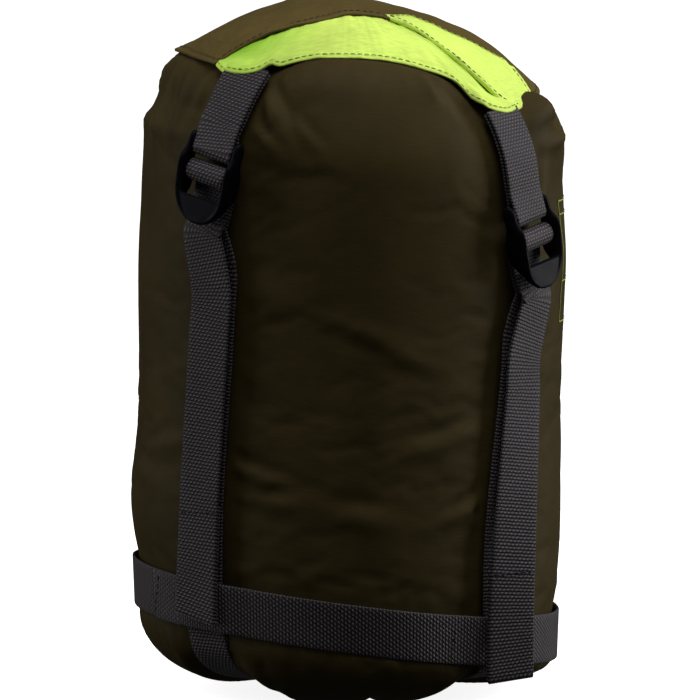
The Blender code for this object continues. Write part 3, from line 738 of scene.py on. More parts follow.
def sack_rows():
    """Rows of the sack's fabric from the base's centre to the mouth: points, distance up, how free."""
    angles = around_sack()
    rows = []
    for turn in steps(1.98, 0.03, BASE_ROWS):
        free = 0.0 if turn > 0.75 else smoothstep(0.75, 0.3, turn)
        reach = BASE_TOP - 0.045 * turn
        rows.append(([base_point(a, turn) for a in angles], reach, [free] * COLUMNS))
    for level in steps(BASE_TOP + 0.002, SHOULDER_Z, SIDE_ROWS):
        free = smoothstep(0.012, 0.020, abs(level - RING_LEVEL))
        points = [spread(a, RADIUS + bulge(a, level), level) for a in angles]
        frees = [free * smoothstep(0.012, 0.022, abs(strap_side(a, level))) for a in angles]
        rows.append((points, level, frees))
    end = math.acos((MOUTH_EDGE / RADIUS) ** (ROUNDNESS / 2))
    for turn in steps(0.035, end, SHOULDER_ROWS):
        level = dome_level(turn)
        frees = []
        for a in angles:
            clear = smoothstep(0.012, 0.022, abs(strap_side(a, level)))
            frees.append(clear * smoothstep(0.0, 0.08, hem_turn(a) - 0.03 - turn))
        rows.append(([shoulder_point(a, turn) for a in angles], climb(level), frees))
    return angles, rows


def inflate(obj, free, furthest):
    """Lets pressure fill out the fabric where it's free; no point moves further than furthest."""
    rest = np.array([v.co for v in obj.data.vertices])
    group = obj.vertex_groups.new(name="held")
    for index, share in enumerate(free):
        group.add([index], 1 - share, "REPLACE")
    made = obj.modifiers.new("cloth", "CLOTH")
    cloth = made.settings
    cloth.quality = 4
    cloth.mass = 0.12
    cloth.tension_stiffness = cloth.compression_stiffness = 12
    cloth.shear_stiffness = 4
    cloth.bending_stiffness = 0.06
    cloth.use_pressure = True
    cloth.uniform_pressure_force = 3.5
    cloth.shrink_min = -0.004
    cloth.vertex_group_mass = "held"
    cloth.effector_weights.gravity = 0
    made.point_cache.frame_end = SIM_FRAMES
    scene = bpy.context.scene
    for k in range(1, SIM_FRAMES + 1):
        scene.frame_set(k)
    apply_modifiers(obj)
    scene.frame_set(1)
    moved = np.array([v.co for v in obj.data.vertices]) - rest
    length = np.linalg.norm(moved, axis=1, keepdims=True)
    moved *= np.minimum(1.0, furthest / np.maximum(length, 1e-9)) * np.array(free)[:, None]
    obj.data.vertices.foreach_set("co", (rest + moved).ravel())
    obj.vertex_groups.clear()
    return obj


def wrinkle(angle, distance, hem_climb, free):
    """Small wrinkles: level ones beside the straps, upright gathers at the hem and the ring."""
    girth = RADIUS * angle
    near_strap = bell(strap_side(angle, min(distance, SHOULDER_Z)), 0, 0.034)
    level_ones = wobble(girth / 0.034, distance / 0.0075, seed=1.0)
    total = 0.0009 * near_strap * level_ones
    total += 0.0003 * wobble(girth / 0.05, distance / 0.022, seed=4.0)
    gathers = wobble(girth / 0.0062, distance / 0.03, seed=7.0)
    total += 0.0011 * gathers * bell(distance, hem_climb - 0.004, 0.014)
    total += 0.0008 * gathers * bell(distance, RING_LEVEL + 0.015, 0.009)
    total += 0.0010 * gathers * bell(distance, RING_LEVEL - 0.016, 0.010)
    return total * free


def make_sack():
    """The sack's fabric: inflated, folded, and parted at the ring into body and base panels."""
    angles, rows = sack_rows()
    grid = [row[0] for row in rows]
    free = [share for row in rows for share in row[2]]
    lengths = run_lengths([row[0] for row in grid])

    def uv(i, j):
        return (j * math.tau * RADIUS / COLUMNS, lengths[i])

    whole = grid_piece("sack_fabric", grid, OLIVE, uv, closed=True)
    inflate(whole, free, 0.0024)
    hems = [climb(hem_level(a)) for a in angles]
    normals = [v.normal.copy() for v in whole.data.vertices]
    for i, (_, distance, frees) in enumerate(rows):
        for j, angle in enumerate(angles):
            vertex = whole.data.vertices[i * COLUMNS + j]
            girth = math.hypot(vertex.co.x, vertex.co.y)
            height = fold_height(angle, distance, girth) * smoothstep(0.0, 0.6, frees[j])
            height += wrinkle(angle, distance, hems[j], frees[j])
            vertex.co += normals[i * COLUMNS + j] * height
    split = BASE_ROWS + 4
    placed = [whole.data.vertices[k].co.copy() for k in range(len(whole.data.vertices))]
    bpy.data.objects.remove(whole)
    grid = [placed[i * COLUMNS : (i + 1) * COLUMNS] for i in range(len(rows))]
    body = grid_piece("sack_body", grid[split - 1 :], OLIVE, lambda i, j: uv(i + split - 1, j), closed=True)
    base = grid_piece("sack_base", grid[:split], OLIVE, uv, closed=True)
    edit(base, lambda made: close_hole(made, 0))
    for obj in (body, base):
        solidify(obj, FABRIC)
    settle(body, "sack", "olive_fabric", "body_panel", "packed_filling")
    settle(base, "sack", "olive_fabric", "base_panel")
    return body, base


# ---------------------------------------------------------------- webbing and thread


def band_section(width=WEB_WIDTH, thickness=WEB):
    """Cross-section of webbing, flat with rounded edges, as (across, out) pairs."""
    half, edge = width / 2, thickness / 2
    flat = steps(-half + edge, half - edge, 9)
    pairs = [(u, edge) for u in flat]
    pairs += [(half - edge + edge * math.cos(t), edge * math.sin(t)) for t in steps(1.1, -1.1, 3)]
    pairs += [(u, -edge) for u in reversed(flat)]
    pairs += [(-half + edge - edge * math.cos(t), -edge * math.sin(t)) for t in steps(1.1, -1.1, 3)]
    return pairs


def band(name, frames, material=None, closed=False, skews=(0.0, 0.0), section=None, start=0.0):
    """Webbing along frames of (centre, across, out). skews slants the two ends."""
    section = section or band_section()
    count = len(section)
    lengths = run_lengths([place[0] for place in frames], start)
    grid = []
    for k, (centre, across, out) in enumerate(frames):
        slant = Vector()
        if not closed and k == 0:
            slant = (frames[0][0] - frames[1][0]).normalized() * skews[0]
        if not closed and k == len(frames) - 1:
            slant = (frames[-1][0] - frames[-2][0]).normalized() * skews[1]
        grid.append([centre + across * u + out * w + slant * (u / WEB_WIDTH) for u, w in section])
    if closed:
        grid.append(grid[0])
        lengths.append(lengths[-1] + (frames[-1][0] - frames[0][0]).length)
    places = [u for u, _ in section] + [section[0][0]]
    obj = grid_piece(name, grid, material or WEBBING, lambda i, j: (places[j], lengths[i]), closed=True)

    def finish(made):
        if closed:
            bmesh.ops.remove_doubles(made, verts=made.verts, dist=1e-6)
        else:
            layer = made.loops.layers.uv.active
            for first, length in ((0, lengths[0]), ((len(grid) - 1) * count, lengths[-1])):
                face = made.faces.new([made.verts[first + j] for j in range(count)])
                for j, loop in enumerate(face.loops):
                    loop[layer].uv = (places[j], length)
        bmesh.ops.recalc_face_normals(made, faces=made.faces)

    edit(obj, finish)
    obj.data.set_sharp_from_angle(angle=math.radians(50))
    return obj


def frames_along(curve, facing):
    """Frames along a curve of (x, y, z, ...); facing(k) gives roughly where the band looks."""
    centres = [Vector(p[:3]) for p in curve]
    frames = []
    for k, centre in enumerate(centres):
        along = (centres[min(k + 1, len(centres) - 1)] - centres[max(k - 1, 0)]).normalized()
        out = Vector(facing(k))
        out = (out - along * out.dot(along)).normalized()
        frames.append((centre, out.cross(along).normalized(), out))
    return frames


def stitches(name, path, out, material, length=0.0026, gap=0.0009, radius=0.00026):
    """A row of stitches along a path: short rounded threads that dip into the cloth at their ends.

    out(point) gives the direction away from the cloth.
    """
    path = [Vector(p) for p in path]
    lengths = run_lengths(path)
    table = np.array(path)
    count = max(1, int(lengths[-1] / (length + gap)))
    points, faces = [], []
    for k in range(count):
        start = (k + 0.5) * lengths[-1] / count - length / 2
        ring_starts = []
        for t, rise, girth in ((0, -0.6, 0.5), (0.25, 0.5, 1), (0.75, 0.5, 1), (1, -0.6, 0.5)):
            here = Vector([np.interp(start + t * length, lengths, table[:, n]) for n in range(3)])
            ahead = Vector([np.interp(start + t * length + 0.0003, lengths, table[:, n]) for n in range(3)])
            up = out(here).normalized()
            side = (ahead - here).cross(up).normalized()
            ring_starts.append(len(points))
            for s in range(6):
                turn = math.tau * s / 6
                away = up * (rise + girth * math.sin(turn)) + side * girth * math.cos(turn)
                points.append(here + away * radius)
        for a, b in zip(ring_starts, ring_starts[1:]):
            faces += [(a + s, a + (s + 1) % 6, b + (s + 1) % 6, b + s) for s in range(6)]
        faces.append(tuple(ring_starts[0] + s for s in range(6))[::-1])
        faces.append(tuple(ring_starts[-1] + s for s in range(6)))
    return face_outwards(mesh_piece(name, points, faces, material))


def make_ring():
    """The webbing sewn round the sack. It stands out where the compression webbing passes under."""
    count = 240
    frames = []
    for k in range(count):
        angle = math.tau * k / count - math.pi
        over = 1 - smoothstep(0.013, 0.027, abs(strap_side(angle, RING_LEVEL)))
        radius = RADIUS + 0.0006 + WEB / 2 + 0.0022 * over
        radius -= 0.0034 * bell(turn_between(angle, math.radians(95)), 0, 0.6)
        radius += 0.0005 * wobble(4 * math.sin(angle), 4 * math.cos(angle), seed=3.0)
        wave = 0.0007 * wobble(2.5 * math.sin(angle), 2.5 * math.cos(angle), seed=8.0)
        out = (radial(angle) + Vector((0, 0, -0.04))).normalized()
        across = Vector((0, 0, 1)) - out * out.z
        frames.append((spread(angle, radius, RING_LEVEL + wave), across.normalized(), out))
    ring = band("base_ring", frames, closed=True)
    settle(ring, "sack", "webbing", "base_ring_webbing")
    lap_angles = steps(math.radians(-63), math.radians(-50), 12)
    lap_frames = []
    for angle in lap_angles:
        centre = spread(angle, RADIUS + 0.0008 + 1.5 * WEB, RING_LEVEL - 0.0004)
        lap_frames.append((centre, Vector((0, 0, 1)), radial(angle)))
    lap = band("base_ring_lap", lap_frames, skews=(0.006, 0.0))
    settle(lap, "sack", "webbing")
    sewn = []
    for name, low, high in (("lap_stitch_a", -62, -60), ("lap_stitch_b", 29, 29.4)):
        path = []
        for share in steps(0, 1, 10):
            angle = math.radians(mix(low, high, share))
            away = 2 * WEB + 0.0009 if low < 0 else WEB + 0.0007
            path.append(spread(angle, RADIUS + away, RING_LEVEL + mix(-0.010, 0.010, share)))
        sewn.append(stitches(name, path, lambda p: Vector((p.x, p.y, 0)), DARK_THREAD, gap=0.0012))
    settle(join("ring_stitches", sewn), "sack", "webbing")
    return ring


# ---------------------------------------------------------------- cap

MEAN_CAP_RADIUS = 0.08  # what the cap's weave is laid out on
STRAP_ROOM = 0.0036  # how far the gusset's hem stands out over a strap
PATCH_START = math.radians(30)
PATCH_END = math.radians(80)


def from_middle(point):
    """Roughly outwards from the sack, at a point of the cap."""
    return point - Vector((0, 0, 0.2))


def cap_relief(angle, turn):
    """Soft unevenness of the cap where it is pulled down over the gathered mouth."""
    point = dome(angle, turn)
    lumps = 0.0009 * wobble(point.x / 0.03, point.y / 0.03, seed=11.0)
    creases = 0.0007 * wobble(point.x / 0.011, point.y / 0.05, seed=14.0)
    return (lumps + creases) * smoothstep(0.0, 0.25, math.pi / 2 - turn)


def edge_pull(angle):
    """Ripple of a hem, a little deeper near the strap corners."""
    corner = max(bell(turn_between(angle, a), 0, 0.2) for a in CORNER_ANGLES)
    return (0.0004 + 0.0007 * corner) * wobble(angle * 14, 0, seed=17.0)


def tucked(angle):
    """How far the cap's edge is tucked in against the sack on its left."""
    return 0.0032 * bell(turn_between(angle, math.radians(-98)), 0, 0.55)


def make_cap_top():
    """The olive top panel. Its edge is turned under, and stands proud of the gussets."""
    angles = around_sack()
    hem = (
        (0.060, 0.0004), (0.020, 0.0003), (0.002, 0.0005), (-0.005, 0.0010),
        (-0.004, 0.0017), (0.003, 0.0023), (0.018, 0.0023), (0.034, 0.0019),
    )  # fmt: skip
    grid = []
    for inwards, offset in hem:
        row = []
        for angle in angles:
            turn = seam_turn(angle) + inwards
            row.append(dome(angle, turn, offset - tucked(angle) + edge_pull(angle) + cap_relief(angle, turn)))
        grid.append(row)
    for share in [s**1.15 for s in steps(0.02, 0.99, 44)]:
        row = []
        for angle in angles:
            low = seam_turn(angle) + 0.034
            turn = mix(low, math.pi / 2, share)
            offset = mix(0.0019, 0.0013, smoothstep(0.0, 0.2, share))
            offset -= tucked(angle) * (1 - smoothstep(0.0, 0.4, share))
            row.append(dome(angle, turn, offset + edge_pull(angle) * (1 - share) + cap_relief(angle, turn)))
        grid.append(row)
    lengths = run_lengths([row[0] for row in grid])
    around = math.tau * MEAN_CAP_RADIUS / COLUMNS
    obj = grid_piece("cap_top", grid, CAP_OLIVE, lambda i, j: (j * around, lengths[i]), True)
    edit(obj, lambda made: close_hole(made, (len(grid) - 1) * COLUMNS))
    solidify(obj, 0.0007)
    settle(obj, "cap", "olive_satin", "cap_top_panel")
    path = [dome(a, seam_turn(a) + 0.030, 0.0022 - tucked(a) + edge_pull(a)) for a in angles + angles[:1]]
    row = stitches("cap_edge_stitches", path, from_middle, CAP_THREAD)
    settle(row, "cap", "olive_satin")
    return obj


def over_strap(angle):
    """How much of the gusset's hem stands out over a strap at an azimuth, 0 to 1."""
    return 1 - smoothstep(0.0125, 0.0160, abs(strap_side(angle, hem_level(angle))))


def make_gusset(name, node, low, high):
    """A lime crescent between the cap's hem and the top panel, with a narrow turned-up hem."""
    inset = math.radians(1.0)
    angles = steps(low + inset, high - inset, 120)
    rows = []
    profile = (
        (0.012, 0.0006), (0.0, 0.0006), (-0.004, 0.0010), (-0.003, 0.0016), (0.005, 0.0019),
        (0.030, 0.0017),
    )  # fmt: skip
    for up, offset in profile:
        rows.append([(hem_turn(a) + up, offset) for a in angles])
    for share in steps(0.08, 1.0, 14):
        row = []
        for a in angles:
            start = hem_turn(a) + 0.030
            end = max(seam_turn(a) + 0.012, start + 0.002)
            row.append((mix(start, end, share), mix(0.0017, 0.0004, smoothstep(0.3, 1.0, share))))
        rows.append(row)
    grid = []
    for k, row in enumerate(rows):
        line = []
        for a, (turn, offset) in zip(angles, row):
            pucker = 0.0007 * wobble(a * 11, turn * 5, seed=21.0)
            pucker += 0.0004 * wobble(a * 34, turn * 4, seed=23.0)
            raised = STRAP_ROOM * over_strap(a) * (1 - smoothstep(0.05, 0.16, turn - hem_turn(a)))
            line.append(dome(a, turn, offset + raised + pucker * smoothstep(0, 6, k)))
        grid.append(line)
    obj = grid_piece(name, grid, LIME, lambda i, j: (j * 0.0014, i * 0.0018))
    face_outwards(obj)
    solidify(obj, 0.0006)
    settle(obj, "cap", "lime_fabric", node)
    path = [dome(a, hem_turn(a) + 0.024, 0.0020 + STRAP_ROOM * over_strap(a)) for a in angles]
    row = stitches(name + "_stitches", path, from_middle, LIME_THREAD)
    settle(row, "cap", "lime_fabric")
    return obj


def patch_edges(angle):
    """Turns of the patch's lower and upper edges at an azimuth."""
    cut_back = math.radians(11) * smoothstep(math.radians(72), PATCH_END, angle)
    low = seam_turn(angle) + cut_back
    high = math.radians(71.5) - math.radians(24) * smoothstep(math.radians(52), PATCH_END, angle)
    return low, max(high, low + 0.05)


def make_patch():
    """The lime panel sewn over the top panel's front right quarter, down to its edge."""
    angles = steps(PATCH_START, PATCH_END, 110)
    grid = []
    roll = (
        (0.012, 0.0002), (0.0, 0.0005), (-0.006, 0.0012), (-0.006, 0.0020), (-0.002, 0.0026),
        (0.016, 0.0027),
    )  # fmt: skip
    for inwards, offset in roll:
        grid.append([dome(a, patch_edges(a)[0] + inwards, offset + edge_pull(a)) for a in angles])
    for share in steps(0.06, 1.0, 30):
        row = []
        for a in angles:
            low, high = patch_edges(a)
            turn = mix(low + 0.016, high, share)
            lift = mix(0.0028, 0.0021, smoothstep(0.0, 0.3, share)) + edge_pull(a) * (1 - share)
            row.append(dome(a, turn, lift + cap_relief(a, turn)))
        grid.append(row)
    obj = grid_piece("cap_patch_panel", grid, LIME, lambda i, j: (j * 0.001, i * 0.0016))
    face_outwards(obj)
    solidify(obj, 0.0005)
    settle(obj, "cap", "lime_fabric", "cap_patch")
    rows = []
    for name, edge, inset in (("low", 0, 0.028), ("high", 1, -0.022)):
        path = []
        for a in angles[3:-3]:
            turn = patch_edges(a)[edge] + inset
            path.append(dome(a, turn, 0.0026 + cap_relief(a, turn)))
        thread = DARK_THREAD if name == "low" else LIME_THREAD
        rows.append(stitches("patch_stitch_" + name, path, from_middle, thread))
    settle(join("cap_patch_stitches", rows), "cap", "lime_fabric")
    return obj


# ---------------------------------------------------------------- straps and buckles

# How each buckle lies against its strap: lean in its own plane, tilt of the lower end outwards,
# and turn about the upright
LEANS = [math.radians(a) for a in (-11, 9, 2, -3)]
TILTS = [math.radians(a) for a in (3, 4, 2, 3)]
TURNS = [math.radians(a) for a in (-3, 2, 1, -1)]
SHIFTS = (0.0026, 0.0, 0.0, 0.0)


def turned(first, second, angle):
    """Two perpendicular directions turned in their own plane, the second one towards the first."""
    c, s = math.cos(angle), math.sin(angle)
    return first * c - second * s, second * c + first * s


def buckle_frame(index):
    """Matrix from a buckle's own axes (across, down, outward) to world space."""
    facing = BUCKLE_ANGLES[index] + TURNS[index]
    across, down, out = tangent(facing), Vector((0, 0, -1)), radial(facing)
    lean, tilt = LEANS[index], TILTS[index]
    across, down = turned(across, down, lean)
    out, down = turned(out, down, tilt)
    turn = Matrix((across, down, out)).transposed().to_4x4()
    return Matrix.Translation(BARS[index] + across * SHIFTS[index]) @ turn


def loft(name, sections, material, closed_ends=True):
    """A solid through rings of points."""
    count = len(sections[0])
    points = [p for ring in sections for p in ring]
    faces = []
    for i in range(len(sections) - 1):
        for j in range(count):
            k = (j + 1) % count
            faces.append((i * count + j, i * count + k, (i + 1) * count + k, (i + 1) * count + j))
    if closed_ends:
        faces.append(tuple(range(count))[::-1])
        faces.append(tuple(range((len(sections) - 1) * count, len(sections) * count)))
    return face_outwards(mesh_piece(name, points, faces, material))


def rounded_ring(centre, side, up, half_side, half_up, corners=2.6, count=20):
    """A rounded rectangle, as a superellipse, round a centre."""
    ring = []
    for k in range(count):
        turn = math.tau * k / count
        c, s = math.cos(turn), math.sin(turn)
        a = math.copysign(abs(c) ** (2 / corners), c) * half_side
        b = math.copysign(abs(s) ** (2 / corners), s) * half_up
        ring.append(centre + side * a + up * b)
    return ring


def make_buckle_shape():
    """A ladderlock in its own axes: two stepped rails that run on round the thumb tab, and two bars."""
    # Rail, from an ear to the tab's tip: down, across, outward, half thickness, half depth
    rail = (
        (-0.0072, 0.0147, -0.0002, 0.0010, 0.0016), (-0.0058, 0.0148, 0.0000, 0.0016, 0.0029),
        (-0.0030, 0.0149, 0.0002, 0.0018, 0.0036), (0.0000, 0.0150, 0.0006, 0.0017, 0.0036),
        (0.0030, 0.0152, 0.0016, 0.0017, 0.0042), (0.0060, 0.0154, 0.0026, 0.0017, 0.0054),
        (0.0105, 0.0154, 0.0022, 0.0017, 0.0063), (0.0160, 0.0153, 0.0020, 0.0017, 0.0062),
        (0.0215, 0.0149, 0.0024, 0.0017, 0.0056), (0.0265, 0.0138, 0.0042, 0.0016, 0.0033),
        (0.0310, 0.0112, 0.0051, 0.0015, 0.0020), (0.0346, 0.0070, 0.0055, 0.0013, 0.0014),
        (0.0362, 0.0024, 0.0057, 0.0012, 0.0012),
    )  # fmt: skip
    half = smooth_curve([(u, v, w, a, b) for v, u, w, a, b in rail], 46)
    whole = [tuple(p) for p in half] + [(-u, v, w, a, b) for u, v, w, a, b in half[::-1]]
    sections = []
    for k, (u, v, w, a, b) in enumerate(whole):
        before, after = whole[max(k - 1, 0)], whole[min(k + 1, len(whole) - 1)]
        along = Vector((after[0] - before[0], after[1] - before[1], 0)).normalized()
        side = Vector((along.y, -along.x, 0))
        sections.append(rounded_ring(Vector((u, v, w)), side, Vector((0, 0, 1)), a, b))
    across, down, out = (Vector(axis) for axis in ((1, 0, 0), (0, 1, 0), (0, 0, 1)))
    pieces = [loft("rails", sections, PLASTIC)]
    for v, w in ((0.0, 0.0), (MIDDLE_BAR, 0.0008)):
        ends = [Vector((u, v, w)) for u in (-0.0155, 0.0155)]
        rings = [rounded_ring(end, down, out, BAR_RADIUS, BAR_RADIUS, 2.0) for end in ends]
        pieces.append(loft("bar", rings, PLASTIC))
    # Tab, from its straight upper edge to the tip: down, half width, outward, half thickness
    tab = (
        (0.0240, 0.0150, 0.0056, 0.0006), (0.0246, 0.0150, 0.0056, 0.0013), (0.0275, 0.0138, 0.0056, 0.0012),
        (0.0310, 0.0112, 0.0057, 0.0011), (0.0340, 0.0078, 0.0059, 0.0010), (0.0362, 0.0030, 0.0061, 0.0010),
    )  # fmt: skip
    rings = []
    for v, width, w, thick in smooth_curve(tab, 20):
        rings.append(rounded_ring(Vector((0, v, w)), across, out, width, thick, 5.0, 32))
    pieces.append(loft("tab", rings, PLASTIC))
    # Web below the tab's edge, which the tail bends round
    ends = [Vector((u, 0.0262, 0.0030)) for u in (-0.0148, 0.0148)]
    rings = [rounded_ring(end, down, out, 0.0017, 0.0016, 2.4) for end in ends]
    pieces.append(loft("lower_bar", rings, PLASTIC))
    shape = join("buckle_shape", pieces)
    remesh = shape.modifiers.new("join", "REMESH")
    remesh.mode = "VOXEL"
    remesh.voxel_size = 0.00042
    remesh.use_smooth_shade = True
    smooth = shape.modifiers.new("soften", "SMOOTH")
    smooth.factor = 0.5
    smooth.iterations = 3
    apply_modifiers(shape)
    return shape


def make_buckle(shape, index):
    """One buckle, with a few moulding marks' worth of noise left to its material."""
    name = STRAPS[index]
    obj = link(bpy.data.objects.new("ladderlock_" + name, shape.data.copy()))
    obj.data.transform(buckle_frame(index))
    settle(obj, "buckle_" + name, "black_plastic", "buckle_" + name)
    return obj


def make_upper_strap(index):
    """The doubled strap from under the cap's corner, looped round the buckle's upper bar."""
    name = STRAPS[index]
    frame_matrix = buckle_frame(index)
    bar = frame_matrix.translation.copy()
    bar_level = bar.z + SLOPE * bar.x
    reach = BAR_RADIUS + 0.0003 + WEB / 2
    top = hem_level(CAP_ANGLES[index]) + STRAP_TUCKS[index]

    def layer(levels, offset, sign):
        made = []
        for level in levels:
            angle = strap_azimuth(index, level)
            near_bar = 1 - smoothstep(bar_level + 0.004, bar_level + 0.020, level)
            point = skin_point(angle, level, mix(offset, offset + 0.0012, near_bar))
            made.append((point, skin_normal(angle, level) * sign))
        return made

    path = layer(steps(top, bar_level + 0.0085, 9), 0.0010 + WEB / 2, -1)
    for turn in steps(math.radians(190), math.radians(372), 11):
        sag = 0.0007 * max(0.0, -math.sin(turn))
        around = frame_matrix.to_3x3() @ Vector((0, -math.sin(turn), math.cos(turn)))
        path.append((bar + around * (reach + sag), around))
    path += layer(steps(bar_level + 0.0115, top, 9), 0.0019 + 1.5 * WEB, 1)
    rows = [(*point, *out) for point, out in path]
    curve = smooth_curve(rows, 78)
    strap = band("upper_webbing_" + name, frames_along(curve, lambda k: curve[k][3:6]))
    settle(strap, "cap", "webbing", "upper_strap_" + name)
    return strap


def local_band_frames(index, outline, count):
    """Frames of webbing that follows an outline of (down, outward) pairs in a buckle's axes."""
    matrix = buckle_frame(index)
    curve = smooth_curve([(0.0, v, w) for v, w in outline], count)
    frames = []
    for k, (_, v, w) in enumerate(curve):
        before, after = curve[max(k - 1, 0)], curve[min(k + 1, count - 1)]
        along = (Vector(after) - Vector(before)).normalized()
        turn = matrix.to_3x3()
        out = turn @ along.cross(Vector((1, 0, 0)))
        frames.append((matrix @ Vector((0, v, w)), turn @ Vector((1, 0, 0)), out))
    return frames


# The webbing round the middle bar, from behind the buckle to where it leaves below the tab
WRAP_OUTLINE = (
    (0.0370, -0.0050), (0.0280, -0.0060), (0.0200, -0.0060), (0.0130, -0.0050), (0.0088, -0.0030),
    (0.0070, 0.0002), (0.0076, 0.0032), (0.0102, 0.0050), (0.0136, 0.0050), (0.0160, 0.0032),
    (0.0169, 0.0006), (0.0172, -0.0022), (0.0186, -0.0040), (0.0222, -0.0045), (0.0290, -0.0042),
    (0.0370, -0.0026),
)  # fmt: skip


def make_wrap(index):
    name = STRAPS[index]
    frames = local_band_frames(index, WRAP_OUTLINE, 64)
    wrap = band("bar_webbing_" + name, frames)
    return settle(wrap, "buckle_" + name, "webbing", "webbing_wrap_" + name)


FOLD_BACK = 0.056  # length of webbing folded back at a tail's end
TAIL_ENDS = [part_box("webbing_tail_" + name)[0].z for name in STRAPS]
END_SLANTS = (-0.22, 0.10, 0.06, -0.05)


def tail_route(index, share):
    """Centre and facing of a hanging tail, at a share of the way from its buckle to its end."""
    bar = BARS[index]
    top = bar.z - TAIL_TOP
    start = math.hypot(bar.x, bar.y) - 0.0010
    swing = smoothstep(0.0, 0.95, share)
    angle = mix(BUCKLE_ANGLES[index], TAIL_ANGLES[index], swing)
    radius = mix(start, RADIUS + TAIL_STANDOFFS[index], smoothstep(0.1, 0.75, share))
    radius += 0.0008 * math.sin(7 * share + index)
    centre = radial(angle) * radius
    centre.z = mix(top, TAIL_ENDS[index] + 0.002 + abs(END_SLANTS[index]) * WEB_WIDTH / 2, share)
    return centre, mix(BUCKLE_ANGLES[index], TAIL_FACINGS[index], swing)


def make_tail(index):
    """The free end of the webbing: it hangs from the buckle, folded back and stitched at its end."""
    name = STRAPS[index]
    matrix = buckle_frame(index)
    rows = []
    for v in (0.0368, 0.0395, 0.0440):
        facing = BUCKLE_ANGLES[index] + TURNS[index]
        rows.append((*(matrix @ Vector((0, v, -0.0026 + 0.1 * (v - 0.0368)))), facing, 0.0))
    for share in steps(0.16, 1.0, 9):
        centre, facing = tail_route(index, share)
        rows.append((*centre, facing, 0.0))
    end, facing = tail_route(index, 1.0)
    back = -radial(facing)
    for drop, depth in ((-0.0012, 0.0005), (-0.0010, 0.0013), (0.0004, 0.0018)):
        rows.append((*(end + back * depth + Vector((0, 0, drop))), facing, 1.0))
    for rise in (0.014, 0.030, FOLD_BACK):
        centre, facing = tail_route(index, 1.0 - rise / (BARS[index].z - TAIL_TOP - end.z))
        rows.append((*(centre - radial(facing) * (WEB + 0.0003)), facing, 1.0))
    curve = smooth_curve(rows, 150)
    frames = []
    for k, (x, y, z, facing, _) in enumerate(curve):
        before, after = Vector(curve[max(k - 1, 0)][:3]), Vector(curve[min(k + 1, len(curve) - 1)][:3])
        along = (after - before).normalized()
        across = tangent(facing)
        across = (across - along * across.dot(along)).normalized()
        out = across.cross(-along)
        slant = END_SLANTS[index] * smoothstep(end.z + 0.045, end.z + 0.005, z)
        frames.append((Vector((x, y, z)), across + Vector((0, 0, slant)), out))
    tail = band("tail_webbing_" + name, frames, start=0.0012)
    hinge = Vector(joints["tail_swing_" + name]["pos_m"])
    ends = hinge + Vector((0, 0, 0.001)), hinge - Vector((0, 0, 0.014))
    bend(tail, ("buckle_" + name, "tail_" + name), ends, "webbing", "webbing_tail_" + name)
    share = 1.0 - (FOLD_BACK - 0.004) / (BARS[index].z - TAIL_TOP - end.z)
    centre, facing = tail_route(index, share)
    centre += radial(facing) * (WEB / 2 + 0.0001)
    slanted = tangent(facing) + Vector((0, 0, 0.03))
    path = [centre + slanted * u for u in steps(-0.0115, 0.0115, 12)]
    thread = {"length": 0.0030, "gap": 0.0007, "radius": 0.00034}
    row = stitches("tail_stitches_" + name, path, lambda p: radial(facing), DARK_THREAD, **thread)
    settle(row, "tail_" + name, "webbing")
    return tail


def make_compression_webbing(name, node, index, lift):
    """One strap from behind a buckle, under the ring and the base, to the opposite buckle."""

    def half(which):
        matrix = buckle_frame(which)
        foot = FOOT_ANGLES[which]
        rows = []
        for v in (0.0330, 0.0400):
            rows.append((*(matrix @ Vector((0, v, -0.0039))), *(matrix.to_3x3() @ Vector((0, 0, 1)))))
        offset = 0.0002 + WEB / 2
        start = BARS[which].z - 0.060
        for z in steps(start, BASE_TOP + 0.010 - SLOPE * RADIUS * math.sin(foot), 9):
            angle = strap_azimuth(which, z + SLOPE * RADIUS * math.sin(foot))
            point = radial(angle) * (RADIUS + offset)
            point.z = z
            rows.append((*point, *radial(angle)))
        for turn in steps(0.08, 1, 6) + [1.2, 1.45, 1.7, 1.9]:
            swing = min(turn, 1.0) * math.pi / 2
            out = radial(foot) * math.cos(swing) - Vector((0, 0, 1)) * math.sin(swing)
            point = base_point(foot, turn) + out * (offset + lift * smoothstep(1.0, 1.6, turn))
            rows.append((*point, *out))
        return rows

    curve = smooth_curve(half(index) + half(index + 2)[::-1], 420)
    frames = frames_along(curve, lambda k: curve[k][3:6])
    strap = band(name, frames)
    return bend(strap, ("sack", "cap"), ((0, 0, 0.075), (0, 0, 0.200)), "webbing", node)


# ---------------------------------------------------------------- mouth

HEM_RING_RADIUS = 0.0135
HEM_TUBE_RADIUS = 0.0042
HEM_OPENING = math.radians(70)
CORD_RADIUS = 0.0015


def tube(name, points, radius, material, closed=False, sides=12):
    """A round cord through points, with its pattern laid out along it."""
    points = [Vector(p) for p in points]
    count = len(points)
    grid, lengths = [], [0.0]
    up = Vector((0, 0, 1))
    for k, point in enumerate(points):
        ahead = points[(k + 1) % count] if closed else points[min(k + 1, count - 1)]
        behind = points[k - 1] if closed else points[max(k - 1, 0)]
        along = (ahead - behind).normalized()
        side = along.cross(up).normalized()
        above = side.cross(along)
        turns = steps(0, math.tau, sides + 1)[:-1]
        grid.append([point + (side * math.cos(t) + above * math.sin(t)) * radius for t in turns])
        lengths.append(lengths[-1] + (ahead - point).length)
    if closed:
        grid.append(grid[0])
    obj = grid_piece(name, grid, material, lambda i, j: (j * 0.0008 - 0.004, lengths[i]), closed=True)
    edit(obj, lambda made: bmesh.ops.remove_doubles(made, verts=made.verts, dist=1e-6))
    return face_outwards(obj)


